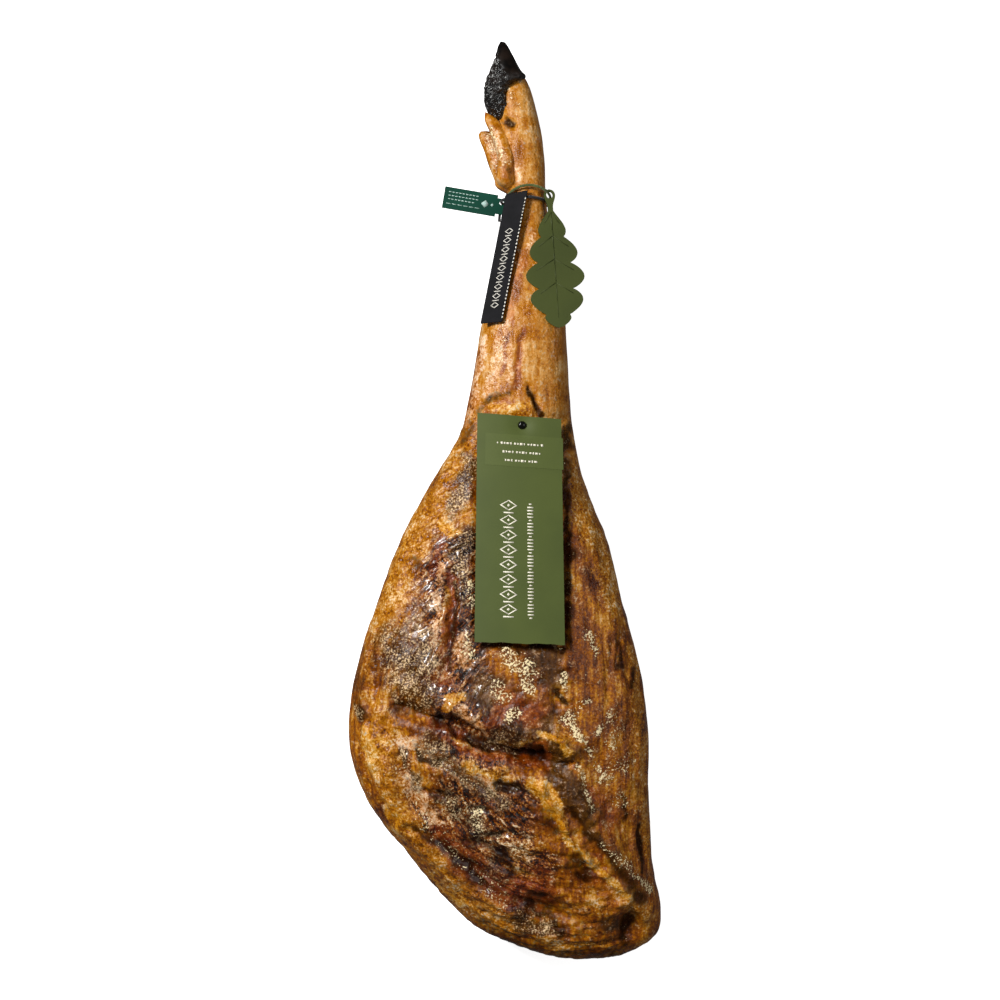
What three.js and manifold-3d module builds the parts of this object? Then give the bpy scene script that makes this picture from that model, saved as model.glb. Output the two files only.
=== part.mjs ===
// A whole dry-cured ham on the bone, lying on its skin side with the trimmed side up, as laid on a table.
// It carries a plastic seal, a ribbon and a leaf-shaped tag on two cord loops round the ankle, and a card
// that is pinned to it. Units are millimetres: +X across the ham, +Y from the butt to the hoof, +Z out of
// the trimmed side.
import * as THREE from "three";
import { mergeVertices } from "three/addons/utils/BufferGeometryUtils.js";
import Module from "manifold-3d";

const wasm = await Module();
wasm.setup();

// Driving dimensions
const HAM_LENGTH = 828; // butt to hoof tip
const BUTT_TO_ANKLE = 686; // butt to the narrowest place, where the loops sit
const FOOT_MIDDLE_Z = 51; // the plane between the two toes
const GAP = 0.3; // left between neighbouring pieces
const RIM_SHARE = 0.56; // the widest line lies this far up the thickness
const FRONT_POWER = 2.5; // squareness of the trimmed side: 2 is an ellipse
const BACK_POWER = 2.1; // squareness of the skin side
const HORN_GRID = { rings: 12, around: 18 };
const DEWCLAW_GRID = { rings: 10, around: 12 };
const HOLE_SIDES = 12;

// Sections of the leg from the toe to the butt: left edge, right edge, lowest and highest level.
// The left and right points walk down the two sides of the outline and meet at a pole on the butt.
const LEG_SECTIONS = [
  { left: [8, 797], right: [8, 797], low: 50, high: 51 },
  { left: [3, 791], right: [14, 793], low: 40, high: 62 },
  { left: [-6, 778], right: [25, 779], low: 31, high: 71 },
  { left: [-6, 752], right: [32, 752], low: 28, high: 74 },
  { left: [-4, 721], right: [36, 721], low: 29, high: 74 },
  { left: [3, BUTT_TO_ANKLE], right: [37, BUTT_TO_ANKLE], low: 30, high: 76 },
  { left: [-4, 649], right: [42, 649], low: 28, high: 80 },
  { left: [-14, 608], right: [51, 608], low: 24, high: 86 },
  { left: [-23, 563], right: [55, 563], low: 18, high: 91 },
  { left: [-32, 509], right: [58, 509], low: 12, high: 95 },
  { left: [-42, 471], right: [62, 472], low: 7, high: 99 },
  { left: [-68, 427], right: [72, 428], low: 2, high: 104 },
  { left: [-94, 379], right: [92, 379], low: -1, high: 110 },
  { left: [-114, 325], right: [106, 320], low: -3, high: 117 },
  { left: [-130, 275], right: [120, 269], low: -4, high: 121 },
  { left: [-140, 224], right: [128, 215], low: -4, high: 122 },
  { left: [-137, 181], right: [129, 154], low: -4, high: 119 },
  { left: [-118, 136], right: [132, 93], low: -3, high: 111 },
  { left: [-90, 100], right: [140, 48], low: 1, high: 100 },
  { left: [-67, 70], right: [136, 23], low: 8, high: 87 },
  { left: [-55, 57], right: [119, 10], low: 12, high: 81 },
  { left: [-42, 43], right: [95, 1.5], low: 18, high: 73 },
  { left: [-24, 28], right: [54, 0.5], low: 27, high: 62 },
  { left: [12, 11], right: [12, 11], low: 44, high: 46 },
];

// The two dewclaws stand up from the back of the foot, the near one a little higher than the far one.
const NEAR_DEWCLAW_SECTIONS = [
  { left: [-18, 764], right: [-18, 764], low: 60, high: 61 },
  { left: [-18, 756], right: [-8, 758], low: 57, high: 66 },
  { left: [-14, 746], right: [3, 743], low: 54, high: 71 },
  { left: [-10, 734], right: [6, 732], low: 53, high: 75 },
  { left: [-7, 721], right: [9, 721], low: 53, high: 77 },
  { left: [-8, 708], right: [10, 709], low: 53, high: 77 },
  { left: [-7, 699], right: [11, 699], low: 54, high: 75 },
  { left: [6, 691], right: [6, 691], low: 60, high: 62 },
];
const FAR_DEWCLAW_SECTIONS = [
  { left: [-24, 749], right: [-24, 749], low: 40, high: 41 },
  { left: [-22, 739], right: [-15, 744], low: 35, high: 46 },
  { left: [-18, 730], right: [-9, 732], low: 31, high: 49 },
  { left: [-14, 719], right: [-4, 721], low: 28, high: 50 },
  { left: [-10, 706], right: [9, 706], low: 28, high: 50 },
  { left: [-7, 698], right: [11, 698], low: 30, high: 50 },
  { left: [10, 689], right: [10, 689], low: 39, high: 41 },
];

// The horn of one toe, tip to heel, for the near toe. The far toe mirrors it in the plane between the toes.
const HOOF_SECTIONS = [
  { left: [-3, HAM_LENGTH], right: [-3, HAM_LENGTH], low: 56, high: 57 },
  { left: [-9, 821], right: [3, 821], low: 53, high: 63 },
  { left: [-12, 806], right: [15, 806], low: 52, high: 71 },
  { left: [-17, 795], right: [21, 796], low: 52, high: 74 },
  { left: [-19, 784], right: [24, 786], low: 52, high: 77 },
  { left: [-18, 774], right: [6, 775], low: 52, high: 77 },
  { left: [-14, 764], right: [4, 764], low: 53, high: 73 },
  { left: [-5, 756], right: [-5, 756], low: 60, high: 62 },
];

// Folds, ridges and pits of the trimmed side. A positive height stands up and a negative one sinks in.
// Each follows a polyline, and spread is the distance to either side at which it has mostly faded.
const RELIEF = [
  { name: "deep fold", path: [[-94, 236], [-50, 224], [-4, 201], [50, 184]], spread: 11, height: -13 },
  { name: "lip over the fold", path: [[-62, 240], [-20, 222], [30, 203]], spread: 10, height: 6 },
  { name: "hip bone ridge", path: [[45, 203], [60, 154], [86, 118], [132, 54]], spread: 12, height: 8 },
  { name: "valley beside the ridge", path: [[66, 200], [84, 158], [112, 112]], spread: 14, height: -6 },
  { name: "hollow below the fold", path: [[-70, 150], [-20, 105], [36, 60]], spread: 26, height: -7 },
  { name: "lean pocket", path: [[24, 54], [48, 48]], spread: 10, height: -9 },
  { name: "hip socket", path: [[112, 36], [116, 30]], spread: 9, height: -8 },
];

// The olive loop, tied round the ankle with its front pulled up, listed from its right side over the front.
const OLIVE_CORD = { radius: 1.2, steps: 44, colour: 0x3a4420 };
const OLIVE_ROUTE = [
  [40.8, 685.6, 56], [40.6, 686.2, 66], [39.6, 687.8, 73], [36.5, 690.8, 78.5], [31, 693.6, 80.8],
  [23, 695.4, 81.2], [15, 694.8, 80.2], [9.5, 692.8, 77.2], [5.8, 690.8, 72.4], [3.4, 689, 67.8],
  [1.2, 688, 61.5], [0.8, 687.4, 53], [2.2, 686.6, 43], [6.6, 686, 33.2], [13.6, 685.6, 27.4],
  [21, 685.4, 26.2], [29, 685.3, 28.4], [35.7, 685.3, 34.4], [39.6, 685.4, 44],
];

// The black loop, which carries the ribbon in front and the seal on its left, and the cut end of its knot.
const BLACK_CORD = { radius: 1.3, steps: 44, colour: 0x17171a };
const BLACK_ROUTE = [
  [39.2, 682, 54], [38.9, 682.4, 61.5], [37, 683, 67.8], [33.6, 684, 72.8], [27.8, 684.8, 77.6],
  [21, 685, 80.7], [14, 685, 78.8], [7, 684.8, 76.8], [1.8, 684.2, 75], [-1.9, 683.2, 73.6],
  [-3.3, 682.2, 69.5], [-3, 681.8, 63.2], [-1.6, 681.8, 56], [0.6, 681.8, 47.5], [4.6, 681.8, 36.2],
  [11.8, 681.8, 29.1], [20, 681.8, 27.2], [28.2, 681.8, 29.7], [35, 681.8, 37], [38.5, 681.9, 46],
];
const BLACK_END_ROUTE = [[-1.6, 681.8, 56], [-3.6, 677, 57.6], [-4.8, 671, 58.6], [-5.2, 665.5, 58.8]];

// The ribbon is doubled over the black loop. Each edge runs from the fold to the cut end, and the levels are
// those of the upper tail at the fold and at the cut end. apart is the space between the tails, which narrows
// to closed between the distances closesFrom and closedAt from the fold.
const RIBBON = {
  thickness: 0.8,
  across: 6, // steps
  rowsBelowFold: [0, 7, 13, 20, 28, 48, 71, 94], // distances from it
  left: { fold: [0.9, 687.9], end: [-21.9, 571.8], foldZ: 78.1, endZ: 85, apart: 6.4 },
  right: { fold: [20.3, 690.7], end: [-2.5, 573.2], foldZ: 83.2, endZ: 91.5, apart: 5 },
  closed: 1.15,
  closesFrom: 7,
  closedAt: 28,
  shorter: 2, // the lower tail's cut end lies this far back
};

// The seal's plate, and the eye through which the black loop runs, measured from the middle of its end.
const SEAL = {
  at: [-7.6, 679.1, 62],
  turn: -9.66,
  length: 48.3,
  width: 19.5,
  thickness: 2.2,
  neck: { length: 8.2, halfWidth: 7.1, corner: 3 },
  eye: { x: 4.1, y: 3.4, radius: 2 },
};

// The leaf hangs by its stem from the olive loop and rests over the shank's right shoulder.
const LEAF = {
  at: [39.5, 687.3, 73],
  length: 121,
  halfWidth: 27,
  thickness: 1.2,
  eyeRadius: 3,
  rimRadius: 5.2,
  stemHalfWidth: 2.4,
  bladeFrom: 0.12, // share of the length
  lobes: 4.5, // on each side, the half one being at the tip
  lean: 4,
  roll: 14,
  pitch: 7.5,
};

// The card's corners and levels. bow lifts its middle across, and the pin draws it down in a dimple.
const CARD = {
  topLeft: [-24.4, 491.9, 99.4],
  topRight: [49.4, 486.2, 98.4],
  bottomLeft: [-26.7, 291.4, 124],
  bottomRight: [52, 288.7, 122.5],
  thickness: 1.4,
  bow: 2,
  across: 10, // steps
  down: 16, // steps
};
const PIN = {
  x: 14.9,
  y: 480.9,
  headRadius: 3.6,
  headHeight: 2.2,
  shaftRadius: 1.2,
  depth: 20,
  point: 2, // length of its tapered tip
  dimple: 2.2, // how far it draws the card down
  dimpleRadius: 9,
};

// A smooth curve through the left or the right edge of the sections, whose third value is a level.
function edgeCurve(sections, side, level) {
  const points = sections.map((s) => new THREE.Vector3(s[side][0], s[side][1], s[level]));
  return new THREE.CatmullRomCurve3(points, false, "catmullrom", 0.5);
}

// Distance from (x, y) to a polyline.
function distanceToPath(x, y, path) {
  let nearest = Infinity;
  for (let i = 0; i < path.length - 1; i++) {
    const [ax, ay] = path[i];
    const [bx, by] = path[i + 1];
    const span = (bx - ax) ** 2 + (by - ay) ** 2;
    const along = THREE.MathUtils.clamp(((x - ax) * (bx - ax) + (y - ay) * (by - ay)) / span, 0, 1);
    nearest = Math.min(nearest, Math.hypot(x - ax - along * (bx - ax), y - ay - along * (by - ay)));
  }
  return nearest;
}

// The height that the features add at (x, y), each fading to its sides as a bell curve.
function reliefAt(x, y, features) {
  let sum = 0;
  for (const { path, spread, height } of features) {
    sum += height * Math.exp(-((distanceToPath(x, y, path) / spread) ** 2));
  }
  return sum;
}

// A closed body through the sections. Each ring is a superellipse across the two edges: it rises from the rim
// line to the highest level and falls from it to the lowest. The first and last sections are single points.
function loft(sections, { rings, around, features = [], grow = 0 }) {
  const left = edgeCurve(sections, "left", "low");
  const right = edgeCurve(sections, "right", "high");
  const positions = [];
  const index = [];
  const signedPower = (value, power) => Math.sign(value) * Math.abs(value) ** power;

  const middle = (t) => left.getPoint(t).add(right.getPoint(t)).multiplyScalar(0.5);
  const pole = (t, next) => {
    const point = middle(t);
    return point.add(point.clone().sub(middle(next)).setLength(2 * grow)).toArray();
  };
  positions.push(...pole(0, 1 / (rings + 1)));
  for (let i = 1; i <= rings; i++) {
    const t = i / (rings + 1);
    const a = left.getPoint(t);
    const b = right.getPoint(t);
    const across = new THREE.Vector2(b.x - a.x, b.y - a.y);
    const reach = 0.5 + grow / Math.max(across.length(), 1);
    const rim = a.z + RIM_SHARE * (b.z - a.z);
    for (let j = 0; j < around; j++) {
      const angle = (2 * Math.PI * j) / around;
      const upper = j < around / 2;
      const power = upper ? FRONT_POWER : BACK_POWER;
      const side = signedPower(Math.cos(angle), 2 / power);
      const rise = Math.abs(Math.sin(angle));
      const x = (a.x + b.x) / 2 + across.x * reach * side;
      const y = (a.y + b.y) / 2 + across.y * reach * side;
      const level = upper ? rim + (b.z - rim + grow) * rise : rim - (rim - a.z + grow) * rise;
      positions.push(x, y, upper ? level + rise * reliefAt(x, y, features) : level);
    }
  }
  positions.push(...pole(1, rings / (rings + 1)));

  const endPole = rings * around + 1;
  const at = (i, j) => 1 + i * around + (j % around);
  for (let j = 0; j < around; j++) {
    index.push(0, at(0, j + 1), at(0, j));
    index.push(endPole, at(rings - 1, j), at(rings - 1, j + 1));
    for (let i = 0; i < rings - 1; i++) {
      index.push(at(i, j), at(i, j + 1), at(i + 1, j + 1));
      index.push(at(i, j), at(i + 1, j + 1), at(i + 1, j));
    }
  }
  const geometry = new THREE.BufferGeometry();
  geometry.setAttribute("position", new THREE.Float32BufferAttribute(positions, 3));
  geometry.setIndex(index);
  return geometry;
}

// A geometry as a solid for cutting and joining.
function solid(geometry) {
  const bare = new THREE.BufferGeometry();
  bare.setAttribute("position", geometry.getAttribute("position"));
  bare.setIndex(geometry.index);
  const merged = mergeVertices(bare, 1e-4);
  const vertProperties = new Float32Array(merged.getAttribute("position").array);
  const triVerts = new Uint32Array(merged.index.array);
  return new wasm.Manifold(new wasm.Mesh({ numProp: 3, vertProperties, triVerts }));
}

// A cut or joined solid as a geometry again, with flat-shaded faces.
function geometryOf(made) {
  const { numProp, vertProperties, triVerts } = made.getMesh();
  const positions = [];
  for (let i = 0; i < vertProperties.length; i += numProp) {
    positions.push(vertProperties[i], vertProperties[i + 1], vertProperties[i + 2]);
  }
  const indexed = new THREE.BufferGeometry();
  indexed.setAttribute("position", new THREE.Float32BufferAttribute(positions, 3));
  indexed.setIndex(Array.from(triVerts));
  const geometry = indexed.toNonIndexed();
  geometry.computeVertexNormals();
  return geometry;
}

// The same sections mirrored in the plane between the toes.
function mirrored(sections) {
  return sections.map((s) => ({ ...s, low: 2 * FOOT_MIDDLE_Z - s.high, high: 2 * FOOT_MIDDLE_Z - s.low }));
}

// A closed plate of even thickness on a curved middle surface. place(i, j) gives the middle surface's point
// on a grid of so many steps across and along.
function plate(across, along, thickness, place) {
  const positions = [];
  const index = [];
  const grid = [];
  for (let i = 0; i <= across; i++) {
    grid.push([]);
    for (let j = 0; j <= along; j++) grid[i].push(new THREE.Vector3(...place(i, j)));
  }
  const upper = (i, j) => 2 * (i * (along + 1) + j);
  const lower = (i, j) => upper(i, j) + 1;
  for (let i = 0; i <= across; i++) {
    for (let j = 0; j <= along; j++) {
      const du = grid[Math.min(i + 1, across)][j].clone().sub(grid[Math.max(i - 1, 0)][j]);
      const dv = grid[i][Math.min(j + 1, along)].clone().sub(grid[i][Math.max(j - 1, 0)]);
      const normal = du.cross(dv).normalize().multiplyScalar(thickness / 2);
      positions.push(...grid[i][j].clone().add(normal), ...grid[i][j].clone().sub(normal));
    }
  }
  const quad = (a, b, c, d) => index.push(a, b, c, a, c, d);
  for (let i = 0; i < across; i++) {
    for (let j = 0; j < along; j++) {
      quad(upper(i, j), upper(i + 1, j), upper(i + 1, j + 1), upper(i, j + 1));
      quad(lower(i, j), lower(i, j + 1), lower(i + 1, j + 1), lower(i + 1, j));
    }
    quad(lower(i, 0), lower(i + 1, 0), upper(i + 1, 0), upper(i, 0));
    quad(upper(i, along), upper(i + 1, along), lower(i + 1, along), lower(i, along));
  }
  for (let j = 0; j < along; j++) {
    quad(upper(0, j), upper(0, j + 1), lower(0, j + 1), lower(0, j));
    quad(lower(across, j), lower(across, j + 1), upper(across, j + 1), upper(across, j));
  }
  const geometry = new THREE.BufferGeometry();
  geometry.setAttribute("position", new THREE.Float32BufferAttribute(positions, 3));
  geometry.setIndex(index);
  return geometry;
}

// A round cord along a route.
function cord(route, closed, { radius, steps }) {
  const sides = 8;
  const rim = [];
  for (let i = 0; i < sides; i++) {
    const angle = (2 * Math.PI * i) / sides;
    rim.push(new THREE.Vector2(radius * Math.cos(angle), radius * Math.sin(angle)));
  }
  const curve = new THREE.CatmullRomCurve3(route.map((p) => new THREE.Vector3(...p)), closed, "centripetal");
  return new THREE.ExtrudeGeometry(new THREE.Shape(rim), { extrudePath: curve, steps });
}

// A flat outline given its thickness.
function extruded(outline, depth) {
  return new THREE.ExtrudeGeometry(outline, { depth, bevelEnabled: false, curveSegments: 6 });
}

// One piece, with its name and its plain colour.
function named(name, geometry, colour, roughness) {
  const material = new THREE.MeshStandardMaterial({ color: colour, roughness, metalness: 0 });
  const mesh = new THREE.Mesh(geometry, material);
  mesh.name = name;
  return mesh;
}

// The room that the pin's shaft needs, from so far below the card's upper face to well above it.
function pinHole(below) {
  const radius = PIN.shaftRadius + GAP;
  const above = 30;
  const hole = new THREE.CylinderGeometry(radius, radius, below + above, HOLE_SIDES);
  hole.rotateX(Math.PI / 2);
  hole.translate(PIN.x, PIN.y, pinSeat() + (above - below) / 2);
  return solid(hole);
}

// The ham itself: leg and dewclaws in one piece, less the horn, the pin's hole and what lies under the table.
function makeHam() {
  const leg = solid(loft(LEG_SECTIONS, { rings: 58, around: 36, features: RELIEF }));
  const nearDewclaw = solid(loft(NEAR_DEWCLAW_SECTIONS, DEWCLAW_GRID));
  const farDewclaw = solid(loft(FAR_DEWCLAW_SECTIONS, DEWCLAW_GRID));
  const hornRoom = { ...HORN_GRID, grow: GAP };
  const depth = 50;
  const underTable = new THREE.BoxGeometry(HAM_LENGTH, 2 * HAM_LENGTH, depth);
  underTable.translate(0, 0, -depth / 2);
  const made = leg
    .add(nearDewclaw)
    .add(farDewclaw)
    .subtract(solid(loft(HOOF_SECTIONS, hornRoom)))
    .subtract(solid(loft(mirrored(HOOF_SECTIONS), hornRoom)))
    .subtract(pinHole(PIN.depth + 1))
    .subtract(solid(underTable));
  return named("ham", geometryOf(made), 0x9a6426, 0.45);
}

// The horn of one toe.
function makeHoof(name, sections) {
  return named(name, geometryOf(solid(loft(sections, HORN_GRID))), 0x1b1613, 0.5);
}

function makeOliveLoop() {
  return named("loop_olive", cord(OLIVE_ROUTE, true, OLIVE_CORD), OLIVE_CORD.colour, 0.7);
}

function makeBlackLoop() {
  const endSteps = 8;
  const loop = solid(cord(BLACK_ROUTE, true, BLACK_CORD));
  const end = solid(cord(BLACK_END_ROUTE, false, { ...BLACK_CORD, steps: endSteps }));
  return named("loop_black", geometryOf(loop.add(end)), BLACK_CORD.colour, 0.7);
}

// The ribbon: its middle surface runs across from left to right, and along from the lower tail's cut end over
// the fold to the upper tail's. Each station is a distance below the fold and a turn about the fold's axis.
function makeRibbon() {
  const { lerp, smoothstep } = THREE.MathUtils;
  const { left, right, across, rowsBelowFold, closed, closesFrom, closedAt, shorter } = RIBBON;
  const length = Math.hypot(left.end[0] - left.fold[0], left.end[1] - left.fold[1]);
  const lowerRows = [...rowsBelowFold, length - shorter].reverse();
  const upperRows = [...rowsBelowFold, length];
  const stations = [
    ...lowerRows.map((down) => ({ down, turn: -90 })),
    ...[-60, -30, 0, 30, 60].map((turn) => ({ down: 0, turn })),
    ...upperRows.map((down) => ({ down, turn: 90 })),
  ];
  const place = (i, j) => {
    const u = i / across;
    const { down, turn } = stations[j];
    const folded = lerp(left.apart, right.apart, u);
    const apart = lerp(folded, closed, smoothstep(down, closesFrom, closedAt));
    const foldZ = lerp(left.foldZ, right.foldZ, u);
    const endZ = lerp(left.endZ, right.endZ, u);
    const angle = THREE.MathUtils.degToRad(turn);
    const share = (down + (apart / 2) * (1 - Math.cos(angle))) / length;
    return [
      lerp(lerp(left.fold[0], right.fold[0], u), lerp(left.end[0], right.end[0], u), share),
      lerp(lerp(left.fold[1], right.fold[1], u), lerp(left.end[1], right.end[1], u), share),
      lerp(foldZ, endZ, down / length) - (apart / 2) * (1 - Math.sin(angle)),
    ];
  };
  const geometry = plate(across, stations.length - 1, RIBBON.thickness, place);
  return named("ribbon", geometry, 0x1f1e20, 0.8);
}

// The seal: a moulded plate with a narrower neck, whose eye hangs on the black loop at the ankle's left.
function makeSeal() {
  const { length, width, neck, eye } = SEAL;
  const corner = { x: neck.length - neck.corner, y: neck.halfWidth - neck.corner };
  const quarter = Math.PI / 2;
  const outline = new THREE.Shape();
  outline.moveTo(-length, -width / 2);
  outline.lineTo(0, -width / 2);
  outline.lineTo(0, -neck.halfWidth);
  outline.absarc(corner.x, -corner.y, neck.corner, -quarter, 0, false);
  outline.absarc(corner.x, corner.y, neck.corner, 0, quarter, false);
  outline.lineTo(0, neck.halfWidth);
  outline.lineTo(0, width / 2);
  outline.lineTo(-length, width / 2);
  const hole = new THREE.Path();
  hole.absarc(eye.x, eye.y, eye.radius, 0, 2 * Math.PI, true);
  outline.holes.push(hole);
  const geometry = extruded(outline, SEAL.thickness);
  const mesh = named("seal", geometry, 0x00503c, 0.4);
  mesh.position.set(...SEAL.at);
  mesh.rotation.z = THREE.MathUtils.degToRad(SEAL.turn);
  return mesh;
}

// Half width of the oak leaf against the share of its length below the eye: a rim and stem, then a blade that
// is widest past its middle, with round lobes and sharp bays between them.
function leafHalfWidth(share) {
  const { lerp, smoothstep } = THREE.MathUtils;
  const { rimRadius, stemHalfWidth, bladeFrom, halfWidth, lobes } = LEAF;
  const stem = lerp(rimRadius, stemHalfWidth, smoothstep(share, 0, 0.09)) * (1 - smoothstep(share, 0.9, 1));
  const along = Math.max(0, (share - bladeFrom) / (1 - bladeFrom));
  const blade = Math.max(0, Math.sin(Math.PI * along ** 1.35)) ** 0.6;
  const lobe = 0.52 + 0.48 * Math.abs(Math.sin(Math.PI * lobes * along)) ** 0.7;
  return stem + (halfWidth - stemHalfWidth) * blade * lobe;
}

// The leaf tag, drawn with its eye at the origin and its tip towards -Y.
function makeLeaf() {
  const steps = 48;
  const down = (i) => (-i / steps) * LEAF.length;
  const outline = new THREE.Shape();
  outline.absarc(0, 0, leafHalfWidth(0), 0, Math.PI, false);
  for (let i = 1; i <= steps; i++) outline.lineTo(-leafHalfWidth(i / steps), down(i));
  for (let i = steps - 1; i > 0; i--) outline.lineTo(leafHalfWidth(i / steps), down(i));
  const eye = new THREE.Path();
  eye.absarc(0, 0, LEAF.eyeRadius, 0, 2 * Math.PI, true);
  outline.holes.push(eye);
  const geometry = extruded(outline, LEAF.thickness);
  const mesh = named("leaf_tag", geometry, 0x4d5527, 0.6);
  const { degToRad } = THREE.MathUtils;
  mesh.position.set(...LEAF.at);
  mesh.rotation.set(degToRad(-LEAF.pitch), degToRad(LEAF.roll), degToRad(LEAF.lean), "ZXY");
  return mesh;
}

// The card's middle surface: across and down are shares of its width and height.
function cardPoint(across, down) {
  const top = CARD.topLeft.map((v, k) => v + across * (CARD.topRight[k] - v));
  const bottom = CARD.bottomLeft.map((v, k) => v + across * (CARD.bottomRight[k] - v));
  const [x, y, z] = top.map((v, k) => v + down * (bottom[k] - v));
  const reach = Math.hypot(x - PIN.x, y - PIN.y) / PIN.dimpleRadius;
  return [x, y, z + CARD.bow * (1 - (2 * across - 1) ** 2) - PIN.dimple * Math.exp(-(reach ** 2))];
}

// The level of the card's upper face under the pin's head.
function pinSeat() {
  const across = (PIN.x - CARD.topLeft[0]) / (CARD.topRight[0] - CARD.topLeft[0]);
  const down = (CARD.topLeft[1] - PIN.y) / (CARD.topLeft[1] - CARD.bottomLeft[1]);
  return cardPoint(across, down)[2] + CARD.thickness / 2;
}

// The card, with rows that lie closer together near the pin.
function makeCard() {
  const { across, down, thickness } = CARD;
  const crowded = (share) => share ** 1.4;
  const board = plate(across, down, thickness, (i, j) => cardPoint(1 - i / across, crowded(j / down)));
  const made = solid(board).subtract(pinHole(10));
  return named("card", geometryOf(made), 0x55632f, 0.55);
}

// A domed pin that goes through the card into the ham, turned about its own axis.
function makePin() {
  const { shaftRadius, headRadius, headHeight, depth, point } = PIN;
  const foot = pinSeat() + 2 * GAP;
  const tip = pinSeat() - depth;
  const profile = [
    new THREE.Vector2(0, tip),
    new THREE.Vector2(shaftRadius, tip + point),
    new THREE.Vector2(shaftRadius, foot),
  ];
  const domeSteps = 4;
  for (let i = domeSteps; i >= 1; i--) {
    const angle = (Math.PI / 2) * (i / domeSteps);
    profile.push(new THREE.Vector2(headRadius * Math.sin(angle), foot + headHeight * Math.cos(angle)));
  }
  profile.push(new THREE.Vector2(0, foot + headHeight));
  const geometry = new THREE.LatheGeometry(profile, HOLE_SIDES);
  geometry.rotateX(Math.PI / 2);
  const mesh = named("card_pin", geometry, 0x14150f, 0.3);
  mesh.position.set(PIN.x, PIN.y, 0);
  return mesh;
}

const pieces = new THREE.Group();
pieces.add(
  makeHam(),
  makeHoof("hoof_near", HOOF_SECTIONS),
  makeHoof("hoof_far", mirrored(HOOF_SECTIONS)),
  makeOliveLoop(),
  makeBlackLoop(),
  makeRibbon(),
  makeSeal(),
  makeLeaf(),
  makeCard(),
  makePin(),
);

// The origin is the middle of the footprint, on the table.
const extent = new THREE.Box3().setFromObject(pieces, true);
const middle = extent.getCenter(new THREE.Vector3());
pieces.position.set(-middle.x, -middle.y, -extent.min.z);
const model = new THREE.Group();
model.add(pieces);

export default model;
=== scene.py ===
"""A whole dry-cured ham with its tags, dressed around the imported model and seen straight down.

Lengths in the classes are millimetres in the drawing's frame: +X across the ham, +Y from the butt to the hoof
and +Z out of the trimmed side. Place turns them into the model's frame, in metres, when a mesh is made.
"""

from __future__ import annotations

import logging
import math
from dataclasses import dataclass
from enum import Enum
from functools import partial
from typing import Callable, Iterable, Sequence

import bmesh
import bpy
import numpy as np
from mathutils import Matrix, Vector

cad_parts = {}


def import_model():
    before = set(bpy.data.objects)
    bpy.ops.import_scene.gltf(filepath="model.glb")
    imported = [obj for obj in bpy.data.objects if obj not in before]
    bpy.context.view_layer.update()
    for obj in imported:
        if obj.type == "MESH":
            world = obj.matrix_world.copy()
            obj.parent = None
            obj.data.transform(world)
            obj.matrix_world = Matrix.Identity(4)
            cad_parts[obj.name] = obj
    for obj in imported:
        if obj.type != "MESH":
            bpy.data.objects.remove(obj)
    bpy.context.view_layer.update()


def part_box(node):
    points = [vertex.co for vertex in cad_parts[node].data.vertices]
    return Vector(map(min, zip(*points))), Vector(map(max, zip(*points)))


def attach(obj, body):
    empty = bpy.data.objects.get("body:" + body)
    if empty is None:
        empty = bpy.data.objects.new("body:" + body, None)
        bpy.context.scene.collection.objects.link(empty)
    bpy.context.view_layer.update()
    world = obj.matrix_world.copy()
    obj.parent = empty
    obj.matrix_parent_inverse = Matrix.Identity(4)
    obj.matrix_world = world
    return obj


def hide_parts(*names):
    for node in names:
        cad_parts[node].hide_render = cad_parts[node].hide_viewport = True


LOG = logging.getLogger("cured_ham")
MM = 0.001
Point = tuple[float, float]
Spot = tuple[float, float, float]
Stops = tuple[tuple[float, str], ...]
Shell = tuple[np.ndarray, list]
Seat = Callable[[np.ndarray], tuple[np.ndarray, np.ndarray]]
PIN_AT: Point = (14.9, 480.9)


# Numbers and noise


SEED_SHIFT = 17.3  # how many cubes apart neighbouring seeds read the lattice
CELL_PRIMES = (73856093, 19349663, 83492791)
SEED_PRIME = 9781
MIX_STEPS = ((15, 0x2C1B3C6D), (12, 0x297A2D39))
LOW_32_BITS = 0xFFFFFFFF
LOW_16_BITS = 0xFFFF
OCTAVE_FALL = 0.55
STRAND_CENTRE = (62.0, 190.0)
STRAND_RADIUS = 110.0


def srgb(colour: str) -> tuple[float, float, float, float]:
    """Turns an sRGB hex colour, such as "#8a5a2b", into linear red, green, blue and alpha.

    Args:
        colour: the hex value with its leading mark.

    Returns:
        The linear colour, opaque.
    """
    parts = np.array([int(colour[i : i + 2], 16) for i in (1, 3, 5)]) / 255
    linear = np.where(parts <= 0.04045, parts / 12.92, ((parts + 0.055) / 1.055) ** 2.4)
    return (*(float(v) for v in linear), 1.0)


def smooth(value: np.ndarray, low: float, high: float) -> np.ndarray:
    """Rises from 0 at low to 1 at high along 3t^2 - 2t^3, level at both ends."""
    t = np.clip((value - low) / (high - low), 0, 1)
    return t * t * (3 - 2 * t)


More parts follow.
